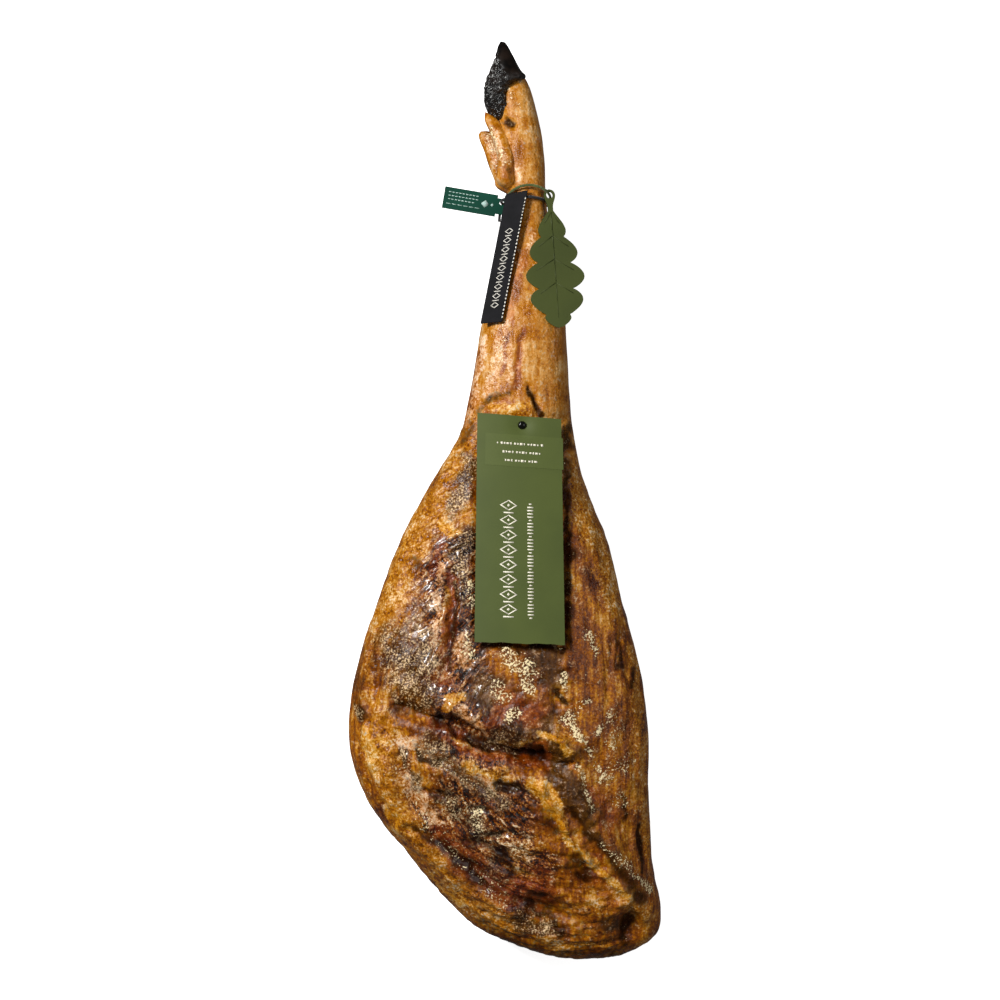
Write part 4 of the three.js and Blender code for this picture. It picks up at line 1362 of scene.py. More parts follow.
@dataclass
class Ham:
    """The leg with its dewclaws: one closed surface with folds, pits and dried meat's fine unevenness."""

    place: Place
    upper: int = 160  # points round the upper side
    lower: int = 56
    body_step: float = 1.9  # between rings, along the longer edge
    shank_step: float = 3.0
    shank_from: float = 480.0
    claw_rings: int = 40
    claw_around: int = 24  # points on each of a dewclaw's sides
    waver: float = 4.5  # how far the placed features' paths stray
    lump: float = 1.4
    small_lump: float = 0.8
    strand: float = 2.1
    crumb: float = 0.9
    card_middle: Point = (14.0, 388.0)
    card_half: Point = (39.0, 100.0)
    card_bed: float = 3.5  # how much lower the surface lies under the card

    def ring_places(self, loft: Loft) -> np.ndarray:
        """Places along the leg whose rings lie a step apart, a shorter one on the body than on the shank.

        Args:
            loft: the leg.

        Returns:
            Places between 0 and 1.
        """
        fine = np.linspace(0, 1, 3000)
        sides = ([s.left for s in loft.sections], [s.right for s in loft.sections])
        edges = [spline(np.array(side, float), fine) for side in sides]
        runs = np.maximum(*[np.linalg.norm(np.diff(e, axis=0), axis=1) for e in edges])
        on_body = edges[0][1:, 1] < self.shank_from
        wanted = np.concatenate([[0], np.cumsum(runs / np.where(on_body, self.body_step, self.shank_step))])
        count = int(wanted[-1])
        return np.interp(np.arange(1, count) * wanted[-1] / count, wanted, fine)

    def build(self) -> bpy.types.Object:
        """Makes the leg, joins the dewclaws to it and raises the relief.

        Returns:
            The ham as one object with an attribute for each tint.
        """
        leg = Loft(LEG_SECTIONS)
        rings = leg.surface(self.ring_places(leg), leg.angles(self.upper, self.lower), BROAD_RELIEF)
        rings[..., 2] = np.maximum(rings[..., 2], 0)
        piece = make_piece("cured_ham", self.place, *leg.close(rings))
        for name, sections in (("near_dewclaw", NEAR_DEWCLAW), ("far_dewclaw", FAR_DEWCLAW)):
            claw = Loft(sections)
            around = claw.angles(self.claw_around, self.claw_around)
            cutter = make_piece(name, self.place, *claw.body(self.claw_rings, around))
            joint = piece.modifiers.new(name, "BOOLEAN")
            joint.operation, joint.solver, joint.object = "UNION", "EXACT", cutter
            apply_modifiers(piece)
            bpy.data.objects.remove(cutter)
        points = positions(piece, self.place)
        self.paint(piece, points)
        move_points(piece, self.place, points + normals(piece) * self.relief(points)[:, None])
        return piece

    def trimmed(self, points: np.ndarray) -> np.ndarray:
        """How far each point belongs to the trimmed side: 1 on top, fading to 0 below the rim.

        The rim stands 40 mm up on the shank, 26 mm higher on the body, and falls by 14 mm towards the butt.

        Args:
            points: the surface in the drawing.

        Returns:
            One share for each point.
        """
        rim = 40 + 26 * smooth(600 - points[:, 1], 0, 250) - 14 * smooth(90 - points[:, 1], 0, 70)
        return smooth(points[:, 2], rim - 8, rim + 10)

    def covered(self, points: np.ndarray) -> np.ndarray:
        """Where the card, the cords, the ribbon and the tags lie, and the surface mustn't rise.

        Args:
            points: the surface in the drawing.

        Returns:
            1 under them and 0 elsewhere, for each point.
        """
        card = path_distance(points, ((12, 480), (12, 300)))
        ankle = np.abs(points[:, 1] - 686)
        tags = path_distance(points, ((5, 690), (-8, 580)))
        return np.maximum.reduce([
            1 - smooth(card, 44, 52),
            1 - smooth(ankle, 9, 16),
            1 - smooth(tags, 22, 28),
        ])

    def relief(self, points: np.ndarray) -> np.ndarray:
        """The fine relief: listed features, lumps, lengthwise wrinkles and slanting strands of lean.

        Args:
            points: the surface in the drawing.

        Returns:
            How far each point moves outwards.
        """
        top = self.trimmed(points - np.array([0, 0, 14]))
        stray = np.column_stack([fractal(points, 22, 2, s) for s in (31, 37, 41)])
        wavering = points + self.waver * stray
        placed = sum(f.lift(wavering) for f in FINE_RELIEF)
        body = 1 - smooth(points[:, 1], 440, 540)
        lean = body * top * (1 - smooth(points[:, 0] + 0.2 * points[:, 1], 95, 125))
        lumps = self.lump * fractal(points, 34, 2, 3) + self.small_lump * fractal(points, 12, 3, 7)
        wrinkles = fractal(points, 5, 2, 11, (1, 8, 2))
        strands = fractal(swept(points), 5.5, 3, 15, (1, 4.5, 2))
        crumbly = fractal(points, 5.0, 2, 21)
        height = placed * top
        height += (0.14 + 0.86 * body * top) * lumps
        height += (0.3 + 0.4 * body * (1 - lean)) * wrinkles
        height += lean * (self.strand * strands + self.crumb * crumbly)
        cover = self.covered(points)
        height = np.where(height > 0, height * (1 - 0.9 * cover), height)
        beside = (np.abs(points[:, :2] - np.array(self.card_middle)) - np.array(self.card_half)).max(axis=1)
        height -= self.card_bed * (1 - smooth(beside, -2, 7)) * smooth(points[:, 2], 60, 75)
        return height * smooth(points[:, 2], 0.5, 12)  # flat where it rests

    def paint(self, piece: bpy.types.Object, points: np.ndarray) -> None:
        """Lays the strokes on the mesh: each tint's attribute is what its strokes cover together.

        Args:
            piece: the ham.
            points: its points in the drawing.
        """
        top = self.trimmed(points)
        foot = smooth(points[:, 1], 590, 640)
        wobble = np.column_stack([
            5.5 * fractal(points, 17, 2, s) + 3.0 * fractal(points, 6, 2, s + 3) for s in (51, 57, 63)
        ])
        for tint, strokes in PAINT.items():
            bare = np.ones(len(points))
            for stroke in strokes:
                steady = min(1.0, 0.3 + stroke.spread / 12)  # a narrow stroke would break into beads
                bare *= 1 - np.minimum(stroke.weight(points + steady * wobble), 1)
            cover = (1 - bare) * (np.maximum(top, foot) if tint is Tint.TAN else top)
            add_attribute(piece, tint.value, cover)
        add_attribute(piece, STRAND_PLACE, swept(points) * MM)


# The horn


HOOF_SECTIONS = (
    Section((-4, 828.5), (-4, 828.5), 56, 57),
    Section((-7, 822), (1, 826), 53, 63),
    Section((-9, 812), (8, 813), 52, 70),
    Section((-13, 802), (13.5, 802), 52, 74),
    Section((-17, 792), (18, 794), 52, 77),
    Section((-19, 783), (6, 788), 52, 77),
    Section((-18, 774), (1, 779), 52, 76),
    Section((-14, 765), (3, 769), 53, 73),
    Section((-8, 758), (-1, 760), 55, 68),
    Section((-4, 756), (-4, 756), 60, 62),
)
FOOT_MIDDLE_Z = 51.0

HORN_RELIEF = (
    Feature("seam of the heel", ((-5, 818), (-4, 804), (-1, 794)), 2.2, -0.6),
    Feature("heel fold a", ((-18, 792), (-6, 788)), 1.6, -0.9),
    Feature("heel fold b", ((-18, 781), (-5, 777)), 1.6, -0.9),
    Feature("heel fold c", ((-15, 770), (-3, 767)), 1.6, -0.8),
)


@dataclass
class Hooves:
    """The horn of the two toes, each with a smooth wall and a wrinkled heel."""

    place: Place
    rings: int = 90
    upper: int = 70  # points round the upper side
    lower: int = 40
    heel_lump: float = 1.8
    wall_lump: float = 0.12
    highest: float = 0.5  # no lump rises more than this

    def build(self) -> list[tuple[bpy.types.Object, str]]:
        """Makes both toes, the far one mirrored in the plane between them.

        Returns:
            Each piece with the node that it replaces.
        """
        made = []
        twice = 2 * FOOT_MIDDLE_Z
        far = tuple(Section(s.left, s.right, twice - s.high, twice - s.low) for s in HOOF_SECTIONS)
        for name, node, sections in (
            ("hoof_near_horn", "hoof_near", HOOF_SECTIONS),
            ("hoof_far_horn", "hoof_far", far),
        ):
            loft = Loft(sections)
            around = loft.angles(self.upper, self.lower)
            piece = make_piece(name, self.place, *loft.body(self.rings, around))
            points = positions(piece, self.place)
            heel = self.heel(points)
            add_attribute(piece, HEEL, heel)
            raised = sum(f.lift(points) for f in HORN_RELIEF) * smooth(points[:, 2], 54, 64)
            raised += heel * self.heel_lump * fractal(points, 3.6, 3, 71)
            raised += self.wall_lump * fractal(points, 7, 2, 73)
            raised = np.minimum(raised, self.highest)
            move_points(piece, self.place, points + normals(piece) * raised[:, None])
            made.append((piece, node))
        return made

    def heel(self, points: np.ndarray) -> np.ndarray:
        """Where the horn is rough: on the heel at the left and along the skin's edge.

        Args:
            points: the surface in the drawing.

        Returns:
            1 there and 0 on the wall, for each point.
        """
        seam = np.interp(points[:, 1], [756, 775, 790, 806, 822], [8, 7, 4, -4, -8])
        left = 1 - smooth(points[:, 0] - seam, -2.5, 2.5)
        rim = 1 - smooth(np.abs(points[:, 1] - 793), 1.5, 6)
        return np.maximum(left, 0.8 * rim * (points[:, 0] > seam))


# Cords, ribbon and seal


OLIVE_ROUTE = (
    (40.8, 685.6, 56), (40.6, 686.2, 66), (39.6, 687.8, 73), (36.5, 690.8, 78.5), (31, 693.6, 80.8),
    (23, 695.4, 81.2), (15, 694.8, 80.2), (9.5, 692.8, 77.2), (5.8, 690.8, 72.4), (3.4, 689, 67.8),
    (1.2, 688, 61.5), (0.8, 687.4, 53), (2.2, 686.6, 43), (6.6, 686, 33.2), (13.6, 685.6, 27.4),
    (21, 685.4, 26.2), (29, 685.3, 28.4), (35.7, 685.3, 34.4), (39.6, 685.4, 44),
)
BLACK_ROUTE = (
    (39.2, 682, 54), (38.9, 682.4, 61.5), (37, 683, 67.8), (33.6, 684, 72.8), (27.8, 684.8, 77.6),
    (21, 685, 80.7), (14, 685, 78.8), (7, 684.8, 76.8), (1.8, 684.2, 75), (-1.9, 683.2, 73.6),
    (-3.3, 682.2, 69.5), (-3, 681.8, 63.2), (-1.6, 681.8, 56), (0.6, 681.8, 47.5), (4.6, 681.8, 36.2),
    (11.8, 681.8, 29.1), (20, 681.8, 27.2), (28.2, 681.8, 29.7), (35, 681.8, 37), (38.5, 681.9, 46),
)
BLACK_END_ROUTE = ((-1.6, 681.8, 56), (-3.6, 677, 57.6), (-4.8, 671, 58.6), (-5.2, 665.5, 58.8))


@dataclass(frozen=True)
class TwistedCord:
    """A round cord laid up from strands that wind about its middle line."""

    radius: float
    strands: int = 3
    lay: float = 6.0  # length of one turn
    rings_a_turn: int = 12
    around: int = 24
    dip: float = 0.16  # how deep the radius dips between strands, as a share of it

    def tube(self, route: Sequence[Spot], closed: bool) -> Shell:
        """The cord's surface: a ring on each place of the route whose radius dips between the strands.

        The radius is the cord's own, less the dip times 1 minus the size of cos(n/2 (a - w)), where n is the
        number of strands, a the place round the ring and w the angle that the lay has wound so far.

        Args:
            route: the middle line's points.
            closed: whether it is a loop.

        Returns:
            The points and the faces.
        """
        points = np.array(route, float)
        fine = spline(points, np.linspace(0, 1, 2000), closed)
        steps = np.linalg.norm(np.diff(fine, axis=0), axis=1)
        run = np.concatenate([[0], np.cumsum(steps)])
        count = int(run[-1] / (self.lay / self.rings_a_turn))
        places = np.arange(count) / count if closed else np.linspace(0, 1, count)
        line = np.column_stack([np.interp(places * run[-1], run, fine[:, k]) for k in range(3)])
        if closed:
            ahead = np.roll(line, -1, axis=0) - np.roll(line, 1, axis=0)
        else:
            ahead = np.gradient(line, axis=0)
        ahead /= np.linalg.norm(ahead, axis=1, keepdims=True)
        side = np.cross(ahead, np.array([0.0, 1.0, 0.0]))
        short = np.linalg.norm(side, axis=1, keepdims=True) < 0.3
        side = np.where(short, np.cross(ahead, np.array([1.0, 0.0, 0.0])), side)
        side /= np.linalg.norm(side, axis=1, keepdims=True)
        up = np.cross(side, ahead)
        turns = round(run[-1] / self.lay)
        wound = 2 * np.pi * turns * places[:, None]
        a = np.linspace(0, 2 * np.pi, self.around, endpoint=False)[None, :]
        reach = self.radius * (1 - self.dip + self.dip * np.abs(np.cos(self.strands / 2 * (a - wound))))
        rings = line[:, None] + reach[..., None] * (
            np.cos(a)[..., None] * side[:, None] + np.sin(a)[..., None] * up[:, None]
        )
        if not closed:
            return closed_tube(rings)
        faces = grid_faces(count + 1, self.around, True) % (count * self.around)
        return rings.reshape(-1, 3), faces.tolist()


@dataclass
class Loops:
    """The two cord loops round the ankle."""

    place: Place
    olive: TwistedCord = TwistedCord(1.2)
    black: TwistedCord = TwistedCord(1.3)

    def build(self) -> list[tuple[bpy.types.Object, str]]:
        """Makes the olive loop, and the black loop with its cut end.

        Returns:
            Each piece with the node that it replaces.
        """
        olive = closed_piece("olive_cord_loop", self.place, *self.olive.tube(OLIVE_ROUTE, True))
        points, faces = self.black.tube(BLACK_ROUTE, True)
        end_points, end_faces = self.black.tube(BLACK_END_ROUTE, False)
        faces += [[i + len(points) for i in f] for f in end_faces]
        black = closed_piece("black_cord_loop", self.place, np.vstack([points, end_points]), faces)
        return [(olive, "loop_olive"), (black, "loop_black")]


@dataclass
class Ribbon:
    """The ribbon doubled over the black loop, with stitches down its right edge and a woven ornament."""

    place: Place
    width: float = 19.5
    left_fold: Spot = (0.9, 687.9, 78.1)
    left_end: Spot = (-21.9, 571.8, 85.0)
    left_apart: float = 6.4  # between the tails at the fold
    right_fold: Spot = (20.3, 690.7, 83.2)
    right_end: Spot = (-2.5, 573.2, 91.5)
    right_apart: float = 5.0
    closed: float = 1.15  # between the tails further down
    closes_from: float = 7.0
    closed_at: float = 28.0
    shorter: float = 2.0  # the lower tail, than the upper
    cloth: float = 0.45
    around_fold: int = 15  # rows of points
    down_tail: int = 90
    stitch_pitch: float = 3.3
    stitch_half: Point = (0.55, 0.95)
    stitch_line: float = 0.965  # share of the width
    motif_pitch: float = 8.4

    @property
    def length(self) -> float:
        """From the fold to the upper tail's cut end, as it is seen from above."""
        return math.hypot(self.left_end[0] - self.left_fold[0], self.left_end[1] - self.left_fold[1])

    def surface(self, across: np.ndarray, down: np.ndarray, turn: np.ndarray) -> np.ndarray:
        """The cloth's middle surface.

        The fold is half a circle whose height is the space between the tails, and turn runs from -90 degrees
        on the lower tail to 90 on the upper. Below it both tails follow straight lines to the cut ends while
        the space narrows.

        Args:
            across: shares of the width, from left to right.
            down: distances below the fold.
            turn: degrees about the fold.

        Returns:
            One row for each place.
        """
        u = across[:, None]
        start = (1 - u) * np.array(self.left_fold) + u * np.array(self.right_fold)
        end = (1 - u) * np.array(self.left_end) + u * np.array(self.right_end)
        folded = (1 - across) * self.left_apart + across * self.right_apart
        apart = folded + (self.closed - folded) * smooth(down, self.closes_from, self.closed_at)
        angle = np.radians(turn)
        share = (down + apart / 2 * (1 - np.cos(angle))) / self.length
        made = start + share[:, None] * (end - start)
        level = start[:, 2] + (down / self.length) * (end - start)[:, 2]
        made[:, 2] = level - apart / 2 * (1 - np.sin(angle))
        return made

    def build(self) -> tuple[bpy.types.Object, bpy.types.Object, bpy.types.Object]:
        """Makes the cloth, its stitches and its ornament.

        Returns:
            The three pieces.
        """
        tail = np.linspace(0, 1, self.down_tail)
        lower, upper = (self.length - self.shorter) * tail[:0:-1], self.length * tail[1:]
        down = np.concatenate([lower, np.zeros(self.around_fold), upper])
        round_fold = np.linspace(-90, 90, self.around_fold)
        turn = np.concatenate([np.full(len(lower), -90.0), round_fold, np.full(len(upper), 90.0)])
        across = np.linspace(0, 1, 15)
        u, d = np.meshgrid(across, down, indexing="ij")
        _, t = np.meshgrid(across, turn, indexing="ij")
        pinked = 0.9 * np.abs(((u * 7) % 1) - 0.5) * smooth(d, self.length - 3, self.length)
        grid = self.surface(u.ravel(), (d - pinked).ravel(), t.ravel()).reshape(len(across), len(down), 3)
        grid[..., 2] += self.ripple(u, d)
        cloth = closed_piece("black_ribbon_cloth", self.place, *sheet_shell(grid, self.cloth))
        self.unroll(cloth, len(across), len(down))
        return cloth, self.stitches(), self.ornament()

    @staticmethod
    def ripple(across: np.ndarray, down: np.ndarray) -> np.ndarray:
        """How far the cloth's slight waves lift it, at shares across and distances down."""
        return 0.12 * np.sin(down / 9 + 3 * across) * smooth(down, 12, 40)

    def unroll(self, cloth: bpy.types.Object, across: int, along: int) -> None:
        """Gives the cloth a UV map in metres across and along it, the same on both faces.

        Args:
            cloth: the ribbon.
            across: how many points it has across.
            along: how many it has along.
        """
        run = np.linspace(0, 2 * self.length * MM, along)
        width = np.linspace(0, self.width * MM, across)
        u, v = np.meshgrid(width, run, indexing="ij")
        each = np.tile(np.column_stack([u.ravel(), v.ravel()]), (2, 1))
        corners = np.empty(len(cloth.data.loops), np.int32)
        cloth.data.loops.foreach_get("vertex_index", corners)
        layer = cloth.data.uv_layers.new(name="UVMap")
        layer.data.foreach_set("uv", each[corners].astype(np.float32).ravel())

    def seat(self, flat: np.ndarray) -> tuple[np.ndarray, np.ndarray]:
        """The upper tail's face.

        Args:
            flat: shares across and distances down.

        Returns:
            Its points and their outward directions.
        """
        across, down = flat.T
        upper = partial(self.surface, turn=np.full(len(flat), 90.0))
        here, out = surface_frame(upper, across, down)
        here[:, 2] += self.ripple(across, down)
        return here + out * self.cloth / 2, out

    def stitches(self) -> bpy.types.Object:
        """Short thick white stitches down the right edge.

        Returns:
            The piece.
        """
        spots = np.arange(5, self.length - 2, self.stitch_pitch)
        corners = np.linspace(0, 2 * np.pi, 10, endpoint=False)
        half_across, half_along = self.stitch_half
        outline = np.column_stack([half_across * np.cos(corners) / self.width, -half_along * np.sin(corners)])
        outlines = np.array([outline + np.array([self.stitch_line, d]) for d in spots])
        return closed_piece("ribbon_stitches", self.place, *prisms(outlines, self.seat, 0.35))

    def ornament(self) -> bpy.types.Object:
        """A column of lozenges in line with short bars between them, woven in white.

        Returns:
            The piece.
        """
        marks = []
        for d in 35 + self.motif_pitch * np.arange(9):
            marks += open_lozenge(0.5, d, 0.38, 5.6, 0.04)
            marks.append(bar(0.5, d + self.motif_pitch / 2, 0.3, 0.7))
        return closed_piece("ribbon_ornament", self.place, *prisms(np.array(marks[:-1]), self.seat, 0.12))


@dataclass
class FlatTag:
    """A flat plate with an outline, a thickness and a small round eye, placed by a turn and a shift."""

    at: Spot
    turn: Spot  # degrees about X, Y and Z
    thickness: float

    def matrix(self) -> np.ndarray:
        """The rotation from the plate's flat axes to the drawing's: about Y, then X, then Z.

        Returns:
            Three rows of three.
        """
        ax, ay, az = (math.radians(v) for v in self.turn)
        rx = np.array([[1, 0, 0], [0, math.cos(ax), -math.sin(ax)], [0, math.sin(ax), math.cos(ax)]])
        ry = np.array([[math.cos(ay), 0, math.sin(ay)], [0, 1, 0], [-math.sin(ay), 0, math.cos(ay)]])
        rz = np.array([[math.cos(az), -math.sin(az), 0], [math.sin(az), math.cos(az), 0], [0, 0, 1]])
        return rz @ rx @ ry

    def points(self, flat: np.ndarray) -> np.ndarray:
        """Points of the plate, given with their height above its lower face, in the drawing."""
        return flat @ self.matrix().T + np.array(self.at)

    def seat(self, flat: np.ndarray) -> tuple[np.ndarray, np.ndarray]:
        """The upper face.

        Args:
            flat: places on the plate.

        Returns:
            Its points and their outward directions.
        """
        raised = np.column_stack([flat, np.full(len(flat), self.thickness)])
        out = np.tile(self.matrix() @ np.array([0.0, 0.0, 1.0]), (len(flat), 1))
        return self.points(raised), out


def holed_plate(
    tag: FlatTag, outline: np.ndarray, eye: Point, radius: float, name: str, place: Place
) -> bpy.types.Object:
    """A plate with an eye: its outline filled round the hole and thickened.

    Args:
        tag: the plate's place.
        outline: its corners, counter-clockwise.
        eye: the hole's middle.
        radius: the hole's radius.
        name: the piece's name.
        place: turns the drawing's millimetres into the model's metres.

    Returns:
        The piece.
    """
    curve = bpy.data.curves.new(name, "CURVE")
    curve.dimensions = "2D"
    curve.fill_mode = "BOTH"
    ring = np.linspace(0, 2 * np.pi, 28, endpoint=False)
    hole = np.array(eye) + radius * np.column_stack([np.cos(ring), np.sin(ring)])
    for corners in (outline, hole):
        line = curve.splines.new("POLY")
        line.points.add(len(corners) - 1)
        flat = np.column_stack([corners, np.zeros(len(corners)), np.ones(len(corners))])
        line.points.foreach_set("co", flat.ravel())
        line.use_cyclic_u = True
    curve.extrude = tag.thickness / 2
    drawn = new_object(name + "_outline", curve)
    bpy.context.view_layer.update()
    mesh = bpy.data.meshes.new_from_object(drawn.evaluated_get(bpy.context.evaluated_depsgraph_get()))
    bpy.data.objects.remove(drawn)
    piece = new_object(name, mesh)
    weld(piece, 1e-4)
    points = stored_points(piece) + np.array([0, 0, tag.thickness / 2])
    move_points(piece, place, tag.points(points))
    outward(piece)
    return piece


@dataclass
class Seal:
    """The moulded seal: a plate with a narrower neck, an eye and raised pale marks."""

    place: Place
    length: float = 48.3
    width: float = 19.5
    neck_length: float = 8.2
    neck_half: float = 7.1
    corner: float = 3.0
    eye: Point = (4.1, 3.4)
    eye_radius: float = 2.0
    at: Spot = (-7.6, 679.1, 62)
    turn: Spot = (0, 0, -9.66)
    thickness: float = 2.2

    def build(self) -> tuple[bpy.types.Object, bpy.types.Object]:
        """Makes the plate and its marks.

        Returns:
            The two pieces.
        """
        tag = FlatTag(self.at, self.turn, self.thickness)
        x, y = self.neck_length - self.corner, self.neck_half - self.corner
        quarter = np.linspace(0, np.pi / 2, 8)
        low = np.column_stack([x + self.corner * np.sin(quarter), -y - self.corner * np.cos(quarter)])
        high = np.column_stack([x + self.corner * np.cos(quarter), y + self.corner * np.sin(quarter)])
        half = self.width / 2
        outline = np.vstack([
            [(-self.length, -half), (0, -half), (0, -self.neck_half)], low, high,
            [(0, self.neck_half), (0, half), (-self.length, half)],
        ])
        plate = holed_plate(tag, outline, self.eye, self.eye_radius, "green_seal", self.place)
        start = -43  # of every row of bars
        marks = []
        for row, bars in ((5.6, 9), (2.4, 9), (-0.8, 8)):
            marks += [bar(start + 3.1 * k, row, 2.2, 0.7) for k in range(bars)]
        marks += [lozenge(-10.5, 0, 7, 7), lozenge(-4, 0, 3, 3)]
        marks += [bar(start + 5.2 * k, -5.0, 4.0, 0.5) for k in range(6)]
        return plate, closed_piece("seal_marks", self.place, *prisms(np.array(marks), tag.seat, 0.15))


@dataclass
class LeafTag:
    """The die-cut board leaf with an eye in its stem and a raised midrib with side veins."""

    place: Place
    at: Spot = (39.5, 687.3, 73)
    length: float = 121.0
    half_width: float = 27.0
    thickness: float = 1.2
    eye_radius: float = 3.0
    rim_radius: float = 5.2
    stem_half: float = 2.4
    blade_from: float = 0.12
    lobes: float = 4.5
    turn: Spot = (-7.5, 14.0, 4.0)

    def half(self, share: np.ndarray) -> np.ndarray:
        """Half width against the share of the length: a rim and stem, then a blade with lobes.

        The blade's envelope is sin(pi a^1.35)^0.6 of the place a along it, and its lobes are 0.52 plus 0.48
        times the size of sin(pi n a)^0.7.

        Args:
            share: places along the leaf, from 0 at its stem to 1 at its tip.

        Returns:
            One half width for each place.
        """
        stem = self.rim_radius + (self.stem_half - self.rim_radius) * smooth(share, 0, 0.09)
        stem = stem * (1 - smooth(share, 0.9, 1))
        along = np.clip((share - self.blade_from) / (1 - self.blade_from), 0, 1)
        blade = np.clip(np.sin(np.pi * along**1.35), 0, 1) ** 0.6
        lobe = 0.52 + 0.48 * np.abs(np.sin(np.pi * self.lobes * along)) ** 0.7
        return stem + (self.half_width - self.stem_half) * blade * lobe

    def build(self) -> tuple[bpy.types.Object, bpy.types.Object]:
        """Makes the leaf and its veins.

        Returns:
            The two pieces.
        """
        tag = FlatTag(self.at, self.turn, self.thickness)
        share = np.linspace(0, 1, 161)
        half = self.half(share)
        down = -share * self.length
        cap = np.linspace(0, np.pi, 16)[:-1]
        top = self.rim_radius * np.column_stack([np.cos(cap), np.sin(cap)])
        left = np.column_stack([-half, down])
        right = np.column_stack([half, down])[-2:0:-1]
        outline = np.vstack([top, left, right])
        leaf = holed_plate(tag, outline, (0, 0), self.eye_radius, "leaf_board", self.place)
        return leaf, closed_piece("leaf_veins", self.place, *prisms(self.veins(), tag.seat, 0.22))

    def veins(self) -> np.ndarray:
        """Tapering strips: the midrib in six stretches and a vein into each lobe.

        Returns:
            Their outlines.
        """
        ends = [((0, -16 - 16 * k), (0, -32 - 16 * k), 1.3 - 0.17 * k) for k in range(6)]
        for k in range(4):
            root = -(self.blade_from + (1 - self.blade_from) * (0.5 + k) / self.lobes * 0.9) * self.length
            reach = 0.72 * float(self.half(np.array([-root / self.length]))[0])
            for side in (-1, 1):
                ends.append(((0, root + 9), (side * reach, root - 1), 0.8))
        strips = []
        for a, b, wide in ends:
            a, b = np.array(a, float), np.array(b, float)
            along = (b - a) / np.linalg.norm(b - a)
            across = np.array([along[1], -along[0]]) * wide / 2
            strips.append([a - across, a + across, b + 0.7 * across, b - 0.7 * across])
        return np.array(strips)


